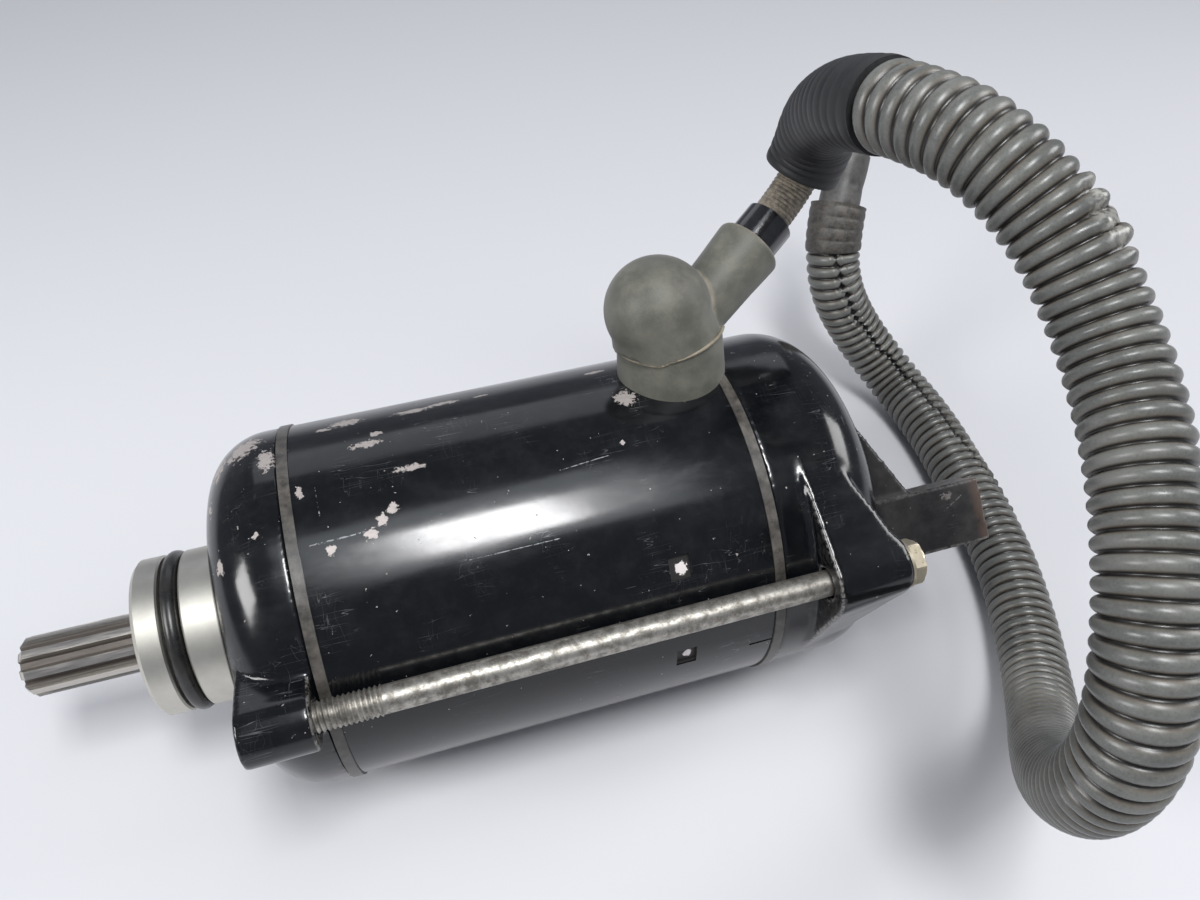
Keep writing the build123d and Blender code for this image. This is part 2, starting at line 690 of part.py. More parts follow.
# ------------------------------------------------------------------ cable, wrap, conduit and far end


def corner_radius(number):
    """Bend at a corner: its arc takes nine tenths of half the shorter run beside it."""
    back = CABLE_ROUTE[number - 1] - CABLE_ROUTE[number]
    ahead = CABLE_ROUTE[number + 1] - CABLE_ROUTE[number]
    half_turn = (180 - back.get_angle(ahead)) / 2
    return 0.45 * min(back.length, ahead.length) / tan(radians(half_turn))


BENDS = [0.0] + [corner_radius(number) for number in range(1, len(CABLE_ROUTE) - 1)] + [0.0]


def middle(number):
    """Point halfway along the run that leaves a corner."""
    return (CABLE_ROUTE[number] + CABLE_ROUTE[number + 1]) * 0.5


def sleeve(start, corners, end, outer, inner=0.0):
    """Tube along the route, round the corners from the first to the last one given."""
    first, last = corners
    with BuildPart() as body:
        with BuildLine() as path:
            FilletPolyline(start, *CABLE_ROUTE[first:last + 1], end, radius=BENDS[first:last + 1])
        with BuildSketch(Plane(origin=path.line @ 0, z_dir=path.line % 0)):
            Circle(outer)
            if inner:
                Circle(inner, mode=Mode.SUBTRACT)
        sweep(path=path.line)
    length = path.wire().length
    print(f"length {length:.1f} mm, volume {body.part.volume:.0f} mm3,"
          f" section times length {pi * (outer ** 2 - inner ** 2) * length:.0f} mm3")
    return body.part


print("bend radii, mm:", [round(radius, 1) for radius in BENDS[1:-1]])

with BuildPart() as cable:
    add(sleeve(CABLE_ROUTE[0], (1, len(CABLE_ROUTE) - 2), CABLE_ROUTE[-1], CABLE_R))
save(cable, "cable")

with BuildPart() as fibre_wrap:
    add(sleeve(NECK_START + NECK_DIRECTION * COLLAR_END, (1, 1), middle(1), WRAP_R, SLEEVE_BORE_R))
save(fibre_wrap, "fibre_wrap")

with BuildPart() as conduit:
    add(sleeve(middle(1), (2, 24), middle(24), CONDUIT_R, CONDUIT_BORE_R))
save(conduit, "conduit")

with BuildPart() as conduit_tape:
    add(sleeve(middle(1), (2, 5), middle(5), TAPE_R, CONDUIT_R + 0.03))
save(conduit_tape, "conduit_tape")

FAR_END = CABLE_ROUTE[-1]
FAR_DIRECTION = (FAR_END - CABLE_ROUTE[-2]).normalized()

with BuildPart() as far_sleeve:
    add(sleeve(middle(23), (24, 24), FAR_END - FAR_DIRECTION * 1.2, CONDUIT_BORE_R - 0.02, SLEEVE_BORE_R))
save(far_sleeve, "far_sleeve")

with BuildPart() as far_lug:
    add(spun(FAR_END, FAR_DIRECTION, (0, 0), (0, 4), (7, 4), (7, 0)))
    with BuildSketch(Plane(origin=FAR_END, x_dir=FAR_DIRECTION, z_dir=FAR_DIRECTION.cross(Vector(1, 0, 0)))):
        with Locations((8, 0)):
            Rectangle(6, 7)
        with Locations((16, 0)):
            Circle(6)
            Circle(3.2, mode=Mode.SUBTRACT)
    extrude(amount=0.75, both=True)
save(far_lug, "far_lug")
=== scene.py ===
import json
from math import atan2, cos, pi, radians, sin

import bmesh
import bpy
import numpy as np
from mathutils import Matrix, Vector


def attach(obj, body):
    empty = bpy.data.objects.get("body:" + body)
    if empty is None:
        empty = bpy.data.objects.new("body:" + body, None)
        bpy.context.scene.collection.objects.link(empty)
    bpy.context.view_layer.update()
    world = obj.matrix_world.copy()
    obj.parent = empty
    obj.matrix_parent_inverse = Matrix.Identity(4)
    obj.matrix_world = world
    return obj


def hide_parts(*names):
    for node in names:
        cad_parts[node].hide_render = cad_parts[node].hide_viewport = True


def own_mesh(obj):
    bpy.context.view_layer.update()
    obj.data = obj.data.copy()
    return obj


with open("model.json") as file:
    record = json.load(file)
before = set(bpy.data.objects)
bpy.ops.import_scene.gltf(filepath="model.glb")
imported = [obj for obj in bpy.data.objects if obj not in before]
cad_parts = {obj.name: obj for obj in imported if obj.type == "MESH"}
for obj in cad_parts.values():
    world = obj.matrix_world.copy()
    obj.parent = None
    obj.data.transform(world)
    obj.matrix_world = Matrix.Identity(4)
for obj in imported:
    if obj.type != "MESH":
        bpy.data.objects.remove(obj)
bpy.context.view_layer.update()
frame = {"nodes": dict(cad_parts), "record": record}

MM = 0.001
GROUND = -32.3 * MM


# ---------------------------------------------------------------- camera, lamps and floor

def make_camera():
    """Close camera above the front of the motor, looking down at it."""
    data = bpy.data.cameras.new("bench_camera")
    data.sensor_width = 36
    data.lens = 28.49
    data.clip_start = 0.005
    camera = bpy.data.objects.new("bench_camera", data)
    right = Vector((0.958, -0.287, 0.001)).normalized()
    back = Vector((-0.193, -0.642, 0.7425)).normalized()
    up = back.cross(right).normalized()
    turn = Matrix((up.cross(back), up, back)).transposed().to_4x4()
    camera.matrix_world = Matrix.Translation(Vector((34.87, -107.47, 147.93)) * MM) @ turn
    bpy.context.collection.objects.link(camera)
    bpy.context.scene.camera = camera


def make_lamp(name, place, aim, size, power, colour=(1, 1, 1)):
    """Rectangular soft lamp."""
    data = bpy.data.lights.new(name, "AREA")
    data.shape = "RECTANGLE"
    data.size, data.size_y = size
    data.energy = power
    data.color = colour
    lamp = bpy.data.objects.new(name, data)
    lamp.location = place
    lamp.rotation_euler = (Vector(aim) - Vector(place)).to_track_quat("-Z", "Y").to_euler()
    bpy.context.collection.objects.link(lamp)


def make_surroundings():
    """Pale floor, dim room and soft lamps overhead."""
    bpy.ops.mesh.primitive_plane_add(size=4, location=(0, 0, GROUND))
    floor = bpy.context.object
    floor.name = "pale_floor"
    paper = Shade.material("pale_floor")
    paper.finish(colour=(0.6, 0.6, 0.62, 1), roughness=0.9)
    floor.data.materials.append(paper.material)
    world = bpy.data.worlds.new("dim_room")
    bpy.context.scene.world = world
    world.use_nodes = True
    world.node_tree.nodes["Background"].inputs["Color"].default_value = (0.8, 0.85, 1.0, 1)
    world.node_tree.nodes["Background"].inputs["Strength"].default_value = 0.24
    make_lamp("overhead_panel", (0.085, -0.19, 0.60), (0.06, -0.02, 0), (0.12, 0.2), 2.5)
    make_lamp("overhead_halo", (0.085, -0.16, 0.62), (0.06, -0.02, 0), (0.30, 0.42), 0.9, (0.88, 0.94, 1))
    make_lamp("left_panel", (-0.46, -0.10, 0.33), (0.01, -0.01, 0.02), (0.26, 0.22), 2.2)
    make_lamp("right_panel", (0.58, -0.03, 0.33), (0.10, -0.01, 0.02), (0.24, 0.22), 1.3)
    make_lamp("back_fill", (0.15, 0.8, 0.5), (0.08, 0, 0), (0.8, 0.4), 0.8, (0.9, 0.94, 1))
    view = bpy.context.scene.view_settings
    view.view_transform = "Standard"


# ---------------------------------------------------------------- shading helpers

class Shade:
    """A node tree with short calls that add a node and join it up."""

    def __init__(self, tree, material=None):
        self.tree = tree
        self.material = material

    @classmethod
    def material(cls, name):
        made = bpy.data.materials.new(name)
        made.use_nodes = True
        made.node_tree.nodes.clear()
        return cls(made.node_tree, made)

    def join(self, socket, value):
        if isinstance(value, bpy.types.NodeSocket):
            self.tree.links.new(value, socket)
        else:
            socket.default_value = value

    def add(self, kind, inputs=None, **options):
        made = self.tree.nodes.new(kind)
        for name, value in options.items():
            setattr(made, name, value)
        for name, value in (inputs or {}).items():
            self.join(made.inputs[name], value)
        return made

    def place(self):
        """Object coordinates in millimetres."""
        here = self.add("ShaderNodeTexCoord").outputs["Object"]
        return self.stretch(here, (1 / MM, 1 / MM, 1 / MM))

    def stretch(self, vector, scale):
        made = self.add("ShaderNodeVectorMath", {0: vector, 1: scale}, operation="MULTIPLY")
        return made.outputs[0]

    def axis(self, vector, letter):
        return self.add("ShaderNodeSeparateXYZ", {0: vector}).outputs[letter]

    def calc(self, operation, *values):
        made = self.add("ShaderNodeMath", dict(enumerate(values)), operation=operation)
        return made.outputs[0]

    def ramp(self, value, low, high, start=0.0, end=1.0):
        """Value carried smoothly from start to end between low and high."""
        inputs = {"Value": value, "From Min": low, "From Max": high, "To Min": start, "To Max": end}
        made = self.add("ShaderNodeMapRange", inputs, interpolation_type="SMOOTHSTEP")
        return made.outputs["Result"]

    def noise(self, vector, scale, detail=3.0, roughness=0.55, distortion=0.0):
        inputs = {"Vector": vector, "Scale": scale, "Detail": detail, "Roughness": roughness,
                  "Distortion": distortion}
        return self.add("ShaderNodeTexNoise", inputs).outputs["Fac"]

    def mix(self, share, first, second):
        made = self.add("ShaderNodeMix", data_type="RGBA")
        self.join(made.inputs[0], share)
        self.join(made.inputs[6], first)
        self.join(made.inputs[7], second)
        return made.outputs[2]

    def group(self, name, **inputs):
        made = self.tree.nodes.new("ShaderNodeGroup")
        made.node_tree = bpy.data.node_groups[name]
        for key, value in inputs.items():
            self.join(made.inputs[key.replace("_", " ")], value)
        return made

    def relief(self, height, strength=0.3, distance=0.1 * MM, normal=None):
        inputs = {"Height": height, "Strength": strength, "Distance": distance}
        if normal is not None:
            inputs["Normal"] = normal
        return self.add("ShaderNodeBump", inputs).outputs["Normal"]

    def finish(self, colour, roughness, metallic=0.0, normal=None, coat=0.0, sheen=0.0, specular=0.5):
        shader = self.add("ShaderNodeBsdfPrincipled")
        self.join(shader.inputs["Base Color"], colour)
        self.join(shader.inputs["Roughness"], roughness)
        self.join(shader.inputs["Metallic"], metallic)
        shader.inputs["Coat Weight"].default_value = coat
        shader.inputs["Coat Roughness"].default_value = 0.08
        shader.inputs["Sheen Weight"].default_value = sheen
        shader.inputs["Specular IOR Level"].default_value = specular
        if normal is not None:
            self.join(shader.inputs["Normal"], normal)
        end = self.add("ShaderNodeOutputMaterial")
        self.tree.links.new(shader.outputs[0], end.inputs["Surface"])
        return self.material


def new_group(name, inputs, outputs):
    """Shader node group with named sockets; gives its helper, its input node and its output node."""
    tree = bpy.data.node_groups.new(name, "ShaderNodeTree")
    for label, kind, value in inputs:
        socket = tree.interface.new_socket(label, in_out="INPUT", socket_type=kind)
        if value is not None:
            socket.default_value = value
    for label, kind in outputs:
        tree.interface.new_socket(label, in_out="OUTPUT", socket_type=kind)
    helper = Shade(tree)
    return helper, helper.add("NodeGroupInput").outputs, helper.add("NodeGroupOutput").inputs


def make_chip_group():
    """Ragged patch where paint has come off round one place, longer one way than across."""
    s, given, out = new_group(
        "paint chip",
        [("Position", "NodeSocketVector", None), ("Centre", "NodeSocketVector", None),
         ("Shape", "NodeSocketVector", (1, 1, 1)), ("Size", "NodeSocketFloat", 2.0),
         ("Raggedness", "NodeSocketFloat", 1.0)],
        [("Mask", "NodeSocketFloat")],
    )
    away = s.add("ShaderNodeVectorMath", {0: given["Position"], 1: given["Centre"]}, operation="SUBTRACT")
    shaped = s.add("ShaderNodeVectorMath", {0: away.outputs[0], 1: given["Shape"]}, operation="DIVIDE")
    reach = s.add("ShaderNodeVectorMath", {0: shaped.outputs[0]}, operation="LENGTH").outputs["Value"]
    rough = s.noise(given["Position"], 1.3, 5, 0.7)
    swing = s.calc("MULTIPLY", s.calc("SUBTRACT", rough, 0.5), given["Raggedness"])
    edge = s.calc("SUBTRACT", s.calc("DIVIDE", reach, given["Size"]), s.calc("MULTIPLY", swing, 3.2))
    s.join(out["Mask"], s.ramp(edge, 0.86, 0.8))


def make_scratch_group():
    """Thin broken lines, stretched along one way."""
    s, given, out = new_group(
        "fine scratches",
        [("Position", "NodeSocketVector", None), ("Stretch", "NodeSocketVector", (0.2, 2, 2)),
         ("Amount", "NodeSocketFloat", 0.5)],
        [("Mask", "NodeSocketFloat")],
    )
    bent = s.add("ShaderNodeVectorMath", {0: given["Position"], 1: given["Stretch"]},
                 operation="MULTIPLY").outputs[0]
    line = s.noise(bent, 1.0, 1.0, 0.4, 0.6)
    ridge = s.calc("ABSOLUTE", s.calc("SUBTRACT", line, 0.5))
    thin = s.ramp(ridge, 0.006, 0.0015)
    here = s.ramp(s.noise(given["Position"], 0.09, 3.0), 0.5, 0.68)
    s.join(out["Mask"], s.calc("MULTIPLY", s.calc("MULTIPLY", thin, here), given["Amount"]))


def make_line_group():
    """One long scratch between two places, broken along its length."""
    s, given, out = new_group(
        "long scratch",
        [("Position", "NodeSocketVector", None), ("Start", "NodeSocketVector", None),
         ("Along", "NodeSocketVector", None), ("Width", "NodeSocketFloat", 0.14)],
        [("Mask", "NodeSocketFloat")],
    )
    away = s.add("ShaderNodeVectorMath", {0: given["Position"], 1: given["Start"]},
                 operation="SUBTRACT").outputs[0]
    reach = s.add("ShaderNodeVectorMath", {0: away, 1: given["Along"]},
                  operation="DOT_PRODUCT").outputs["Value"]
    whole = s.add("ShaderNodeVectorMath", {0: given["Along"], 1: given["Along"]}, operation="DOT_PRODUCT")
    share = s.calc("DIVIDE", reach, whole.outputs["Value"])
    share = s.calc("MINIMUM", s.calc("MAXIMUM", share, 0.0), 1.0)
    foot = s.add("ShaderNodeVectorMath", {0: given["Along"], "Scale": share}, operation="SCALE").outputs[0]
    gap = s.add("ShaderNodeVectorMath", {0: away, 1: foot}, operation="DISTANCE").outputs["Value"]
    wander = s.calc("ADD", gap, s.calc("MULTIPLY", s.noise(given["Position"], 1.1, 3), 0.35))
    line = s.ramp(s.calc("SUBTRACT", wander, 0.175), given["Width"], s.calc("MULTIPLY", given["Width"], 0.4))
    s.join(out["Mask"], s.calc("MULTIPLY", line, s.ramp(s.noise(given["Position"], 1.6, 2), 0.4, 0.52)))


def make_dust_group():
    """Dust that settles on faces turned upwards, in uneven patches."""
    s, given, out = new_group(
        "settled dust",
        [("Position", "NodeSocketVector", None), ("Amount", "NodeSocketFloat", 0.3)],
        [("Mask", "NodeSocketFloat")],
    )
    up = s.axis(s.add("ShaderNodeNewGeometry").outputs["Normal"], "Z")
    patches = s.ramp(s.noise(given["Position"], 0.22, 6, 0.7), 0.4, 0.75)
    specks = s.ramp(s.noise(given["Position"], 6.0, 2, 0.5), 0.62, 0.7)
    both = s.calc("ADD", s.calc("MULTIPLY", patches, 0.7), s.calc("MULTIPLY", specks, 0.5))
    s.join(out["Mask"], s.calc("MULTIPLY", s.calc("MULTIPLY", both, s.ramp(up, -0.2, 0.9)), given["Amount"]))


def make_grain_group():
    """Two sizes of mottling, as a value round a half and as a height."""
    s, given, out = new_group(
        "grain",
        [("Position", "NodeSocketVector", None), ("Coarse", "NodeSocketFloat", 0.4),
         ("Fine", "NodeSocketFloat", 8.0)], [("Value", "NodeSocketFloat"), ("Height", "NodeSocketFloat")],
    )
    coarse = s.noise(given["Position"], given["Coarse"], 4, 0.6)
    fine = s.noise(given["Position"], given["Fine"], 3, 0.6)
    s.join(out["Value"], s.calc("ADD", s.calc("MULTIPLY", coarse, 0.65), s.calc("MULTIPLY", fine, 0.35)))
    s.join(out["Height"], fine)


# ---------------------------------------------------------------- finishes

YOKE_CHIPS = (
    ((25.3, 14.6, 28.5), (2.4, 1.5, 1.5), 1.2),
    ((21.6, 13.4, 29.1), (1.6, 0.7, 0.7), 1.0),
    ((30.0, 8.0, 31.0), (1.2, 0.8, 0.8), 1.0),
    ((28.2, 5.5, 31.5), (2.6, 0.9, 0.9), 1.1),
    ((34.6, -2.0, 31.9), (2.6, 0.7, 0.7), 1.0),
    ((37.0, 13.6, 29.0), (3.6, 0.9, 0.9), 1.0),
    ((42.4, 14.3, 28.6), (3.2, 0.8, 0.8), 1.0),
    ((49.1, 14.2, 28.7), (1.6, 0.5, 0.5), 0.9),
    ((30.5, -8.8, 30.8), (1.1, 1.1, 1.1), 1.0),
    ((28.6, -10.2, 30.3), (1.0, 1.2, 1.2), 1.0),
    ((26.6, -11.9, 29.7), (1.3, 1.0, 1.0), 1.0),
    ((20.2, -12.9, 29.3), (0.9, 0.9, 0.9), 0.9),
    ((16.8, -2.2, 31.9), (0.7, 1.5, 1.5), 0.9),
    ((72.7, 3.3, 31.8), (1.7, 2.0, 2.0), 1.1),
    ((69.2, -6.1, 31.4), (0.5, 0.7, 0.7), 0.9),
    ((70.5, 14.4, 28.6), (2.4, 0.8, 0.8), 0.9),
)
YOKE_SCRATCHES = (
    ((17.2, -11.6, 29.8), (8.6, 0.2, 0.1), 0.16),
    ((29.6, 6.0, 31.4), (5.0, -8.2, 0.5), 0.13),
    ((19.3, -2.0, 31.9), (0.1, -5.6, -0.8), 0.12),
    ((15.0, -15.3, 28.1), (-1.2, -7.7, -5.9), 0.1),
    ((40.4, -18.5, 26.1), (14.6, 0.0, 0.0), 0.08),
    ((57.8, -8.6, 30.8), (8.7, 0.7, 0.2), 0.08),
)
COVER_CHIPS = (
    ((8.0, 13.0, 28.5), (3.0, 4.5, 2.5), 1.0),
    ((4.0, 10.0, 26.0), (1.8, 4.5, 2.5), 0.95),
    ((12.0, 7.0, 31.2), (1.6, 4.0, 1.6), 0.9),
    ((2.5, 2.0, 26.5), (1.2, 2.4, 1.6), 0.85),
    ((9.5, -8.0, 30.0), (1.1, 1.1, 1.1), 0.9),
    ((3.2, -9.5, 26.5), (1.0, 1.6, 1.6), 0.9),
    ((129.0, -18.6, 11.0), (1.3, 0.9, 0.9), 0.9),
)
COVER_SCRATCHES = (
    ((103.0, -26.0, 18.5), (3.0, -2.0, 3.0), 0.1),
    ((128.0, -20.5, 9.2), (4.0, 1.6, 1.4), 0.12),
)
BARE_METAL = (0.3, 0.27, 0.25, 1)
BLACK = (0.0025, 0.003, 0.004, 1)


def paint_layers(s, here, chips, scratches, bare_colour):
    """Colour, roughness, metal and relief of gloss black enamel with its chips and scratches."""
    chipped = 0.0
    for centre, shape, size in chips:
        one = s.group("paint chip", Position=here, Centre=centre, Shape=shape, Size=size, Raggedness=1.0)
        chipped = s.calc("MAXIMUM", one.outputs["Mask"], chipped)
    pits = s.calc("MULTIPLY", s.ramp(s.noise(here, 1.1, 2, 0.5), 0.745, 0.76), 0.8)
    chipped = s.calc("MAXIMUM", chipped, pits)
    long_lines = s.group("fine scratches", Position=here, Stretch=(0.06, 0.9, 0.9),
                         Amount=0.45).outputs["Mask"]
    cross_lines = s.group("fine scratches", Position=here, Stretch=(0.8, 0.1, 0.3),
                          Amount=0.2).outputs["Mask"]
    lines = s.calc("MAXIMUM", long_lines, cross_lines)
    for start, along, width in scratches:
        one = s.group("long scratch", Position=here, Start=start, Along=along, Width=width)
        lines = s.calc("MAXIMUM", one.outputs["Mask"], lines)
    dust = s.group("settled dust", Position=here, Amount=0.03).outputs["Mask"]
    colour = s.mix(lines, BLACK, (0.22, 0.23, 0.24, 1))
    colour = s.mix(dust, colour, (0.3, 0.29, 0.28, 1))
    colour = s.mix(chipped, colour, s.mix(s.noise(here, 1.6, 4), bare_colour, (0.5, 0.45, 0.43, 1)))
    smears = s.ramp(s.noise(s.stretch(here, (0.35, 1, 1)), 0.14, 5, 0.65), 0.35, 0.75, 0.13, 0.24)
    roughness = s.calc("ADD", s.calc("MAXIMUM", smears, s.calc("MULTIPLY", chipped, 0.55)),
                       s.calc("MULTIPLY", lines, 0.3))
    height = s.calc("SUBTRACT", s.calc("MULTIPLY", s.noise(here, 0.35, 3), 0.25),
                    s.calc("MULTIPLY", chipped, 0.9))
    return colour, roughness, s.calc("MULTIPLY", chipped, 0.35), height


def yoke_enamel():
    s = Shade.material("yoke_enamel")
    here = s.place()
    colour, roughness, metal, height = paint_layers(s, here, YOKE_CHIPS, YOKE_SCRATCHES, BARE_METAL)
    depth = s.add("ShaderNodeVectorMath", {0: s.stretch(here, (0, 1, 1))},
                  operation="LENGTH").outputs["Value"]
    along = s.axis(here, "X")
    near_punch = s.calc("LESS_THAN", s.calc("ABSOLUTE", s.calc("SUBTRACT", along, 73.3)), 3.0)
    punched = s.calc("MULTIPLY", s.ramp(depth, 31.85, 31.6), near_punch)
    inside = s.calc("LESS_THAN", depth, 29.3)
    patch = 0.0
    for centre, size in (((73.7, -24.6, 18.7), 1.25), ((73.6, -31.1, 2.2), 0.9)):
        one = s.group("paint chip", Position=here, Centre=centre, Shape=(1, 1, 1.2), Size=size,
                      Raggedness=0.5)
        patch = s.calc("MAXIMUM", one.outputs["Mask"], patch)
    rubbed = s.mix(s.calc("MAXIMUM", patch, inside), (0.02, 0.018, 0.017, 1), (0.78, 0.72, 0.70, 1))
    colour = s.mix(s.calc("MAXIMUM", punched, inside), colour, rubbed)
    return s.finish(colour, s.calc("MAXIMUM", roughness, s.calc("MULTIPLY", punched, 0.6)), metal,
                    s.relief(height, 0.25))


def cover_enamel():
    """Enamel on the two cast covers, with the machined nose left bare."""
    s = Shade.material("cover_enamel")
    here = s.place()
    colour, roughness, metal, height = paint_layers(s, here, COVER_CHIPS, COVER_SCRATCHES, BARE_METAL)
    along = s.axis(here, "X")
    nose = s.ramp(along, 0.03, -0.03)
    turned = s.noise(s.stretch(here, (14, 0.25, 0.25)), 1.0, 3, 0.6)
    stained = s.noise(here, 0.3, 5, 0.65)
    bare = s.mix(stained, (0.50, 0.485, 0.43, 1), (0.68, 0.66, 0.6, 1))
    arm = s.ramp(along, 113, 117)
    tint_mask = s.calc("MULTIPLY", arm, s.ramp(stained, 0.3, 0.8, 0.25, 0.9))
    colour = s.mix(tint_mask, colour, (0.05, 0.045, 0.042, 1))
    end_rub = s.calc("MULTIPLY", s.ramp(along, 133.2, 135.2), s.ramp(stained, 0.25, 0.5))
    colour = s.mix(s.calc("MULTIPLY", end_rub, 0.8), colour, (0.085, 0.055, 0.04, 1))
    across = s.add("ShaderNodeVectorMath", {0: here, 1: (0, 0.748, 0.664)},
                   operation="DOT_PRODUCT").outputs["Value"]
    # Along the lug's lower edge the paler colour is worn paint and also a painted highlight.
    lower = s.calc("MULTIPLY", s.ramp(s.calc("ABSOLUTE", s.calc("ADD", across, 16.2)), 0.6, 0.25), arm)
    upper = s.calc("MULTIPLY", s.ramp(s.calc("ABSOLUTE", s.calc("ADD", across, 4.8)), 0.5, 0.2), arm)
    out_far = s.add("ShaderNodeVectorMath", {0: s.stretch(here, (0, 1, 1))},
                    operation="LENGTH").outputs["Value"]
    ear_line = s.calc("MULTIPLY", s.ramp(s.calc("ABSOLUTE", s.calc("SUBTRACT", along, 97.55)), 0.3, 0.1),
                      s.ramp(out_far, 32.0, 32.4))
    front_line = s.calc("MULTIPLY", s.ramp(s.calc("ABSOLUTE", s.calc("SUBTRACT", along, 12.7)), 0.3, 0.1),
                        s.ramp(out_far, 32.2, 32.6))
    edges = s.calc("MAXIMUM", s.calc("MAXIMUM", lower, s.calc("MULTIPLY", upper, 0.5)),
                   s.calc("MAXIMUM", ear_line, front_line))
    edges = s.calc("MULTIPLY", edges, s.ramp(s.noise(here, 1.2, 4), 0.4, 0.58))
    colour = s.mix(edges, colour, (0.15, 0.14, 0.13, 1))
    colour = s.mix(nose, colour, bare)
    roughness = s.calc("ADD", roughness, s.calc("MULTIPLY", arm, 0.22))
    roughness = s.calc("ADD", s.calc("MULTIPLY", roughness, s.calc("SUBTRACT", 1.0, nose)),
                       s.calc("MULTIPLY", nose, 0.44))
    height = s.calc("ADD", s.calc("MULTIPLY", height, s.calc("SUBTRACT", 1.0, nose)),
                    s.calc("MULTIPLY", s.calc("MULTIPLY", turned, nose), 0.35))
    return s.finish(colour, roughness, s.calc("MAXIMUM", metal, nose), s.relief(height, 0.3))


def plain_finish(name, dark, light, roughness, metallic=0.0, coarse=0.4, fine=8.0, bump=0.15, dust=0.0,
                 sheen=0.0, coat=0.0):
    """Mottled finish between two colours with a fine grain and, if asked, dust on top."""
    s = Shade.material(name)
    here = s.place()
    grain = s.group("grain", Position=here, Coarse=coarse, Fine=fine)
    colour = s.mix(s.ramp(grain.outputs["Value"], 0.35, 0.65), dark, light)
    rough = s.ramp(grain.outputs["Value"], 0.3, 0.7, roughness * 0.85, min(1.0, roughness * 1.15))
    if dust:
        settled = s.group("settled dust", Position=here, Amount=dust).outputs["Mask"]
        colour = s.mix(settled, colour, (0.34, 0.31, 0.27, 1))
    return s.finish(colour, rough, metallic, s.relief(grain.outputs["Height"], bump), coat=coat, sheen=sheen)


def toothed_steel():
    """Ground steel of the shaft, darker brown between its teeth towards its end."""
    s = Shade.material("toothed_steel")
    here = s.place()
    depth = s.add("ShaderNodeVectorMath", {0: s.stretch(here, (0, 1, 1))},
                  operation="LENGTH").outputs["Value"]
    drawn = s.noise(s.stretch(here, (0.25, 6, 6)), 1.0, 4)
    # Mask for the darker brown between the teeth, towards the end of the shaft.
    tint_mask = s.calc("MULTIPLY", s.ramp(depth, 4.9, 4.1), s.ramp(s.axis(here, "X"), -14.0, -17.0))
    colour = s.mix(drawn, (0.42, 0.39, 0.35, 1), (0.66, 0.63, 0.58, 1))
    colour = s.mix(s.calc("MULTIPLY", tint_mask, 0.85), colour, (0.07, 0.055, 0.045, 1))
    return s.finish(colour, s.ramp(drawn, 0.3, 0.7, 0.28, 0.42), s.ramp(tint_mask, 0.2, 1, 1.0, 0.4),
                    s.relief(drawn, 0.2))


def zinc_bolt():
    """Dull zinc shank with yellowed head and rust specks."""
    s = Shade.material("zinc_bolt")
    here = s.place()
    along = s.axis(here, "X")
    blotch = s.noise(here, 0.55, 6, 0.72)
    colour = s.mix(s.ramp(blotch, 0.35, 0.65), (0.17, 0.16, 0.14, 1), (0.44, 0.42, 0.38, 1))
    colour = s.mix(s.calc("MULTIPLY", s.ramp(along, 111.0, 111.5), 0.8), colour, (0.52, 0.46, 0.34, 1))
    rust = s.ramp(s.noise(here, 1.7, 4, 0.7), 0.6, 0.68)
    colour = s.mix(s.calc("MULTIPLY", rust, 0.7), colour, (0.13, 0.07, 0.035, 1))
    roughness = s.ramp(blotch, 0.3, 0.7, 0.55, 0.36)
    return s.finish(colour, roughness, s.ramp(rust, 0, 1, 0.85, 0.3), s.relief(blotch, 0.35))


def boot_rubber():
    """Matt olive-grey moulded rubber, rubbed paler in patches, with paler dust on its upper faces that is also a
    painted highlight.
    """
    s = Shade.material("boot_rubber")
    here = s.place()
    grain = s.group("grain", Position=here, Coarse=0.22, Fine=5.0)
    # Paler dust on faces turned upwards, which also serves as a painted highlight on the boot's top.
    dust = s.group("settled dust", Position=here, Amount=0.3).outputs["Mask"]
    colour = s.mix(s.ramp(grain.outputs["Value"], 0.35, 0.65), (0.075, 0.076, 0.06, 1),
                   (0.12, 0.118, 0.095, 1))
    colour = s.mix(dust, colour, (0.24, 0.23, 0.19, 1))
    seam = s.add("ShaderNodeAttribute", attribute_name="seam").outputs["Fac"]
    patchy = s.ramp(s.noise(here, 0.8, 4), 0.35, 0.6, 0.4, 1.0)
    colour = s.mix(s.calc("MULTIPLY", s.calc("MULTIPLY", seam, patchy), 0.85), colour, (0.31, 0.26, 0.19, 1))
    return s.finish(colour, s.ramp(grain.outputs["Value"], 0.3, 0.7, 0.48, 0.62), 0.0,
                    s.relief(grain.outputs["Height"], 0.12), sheen=0.15)


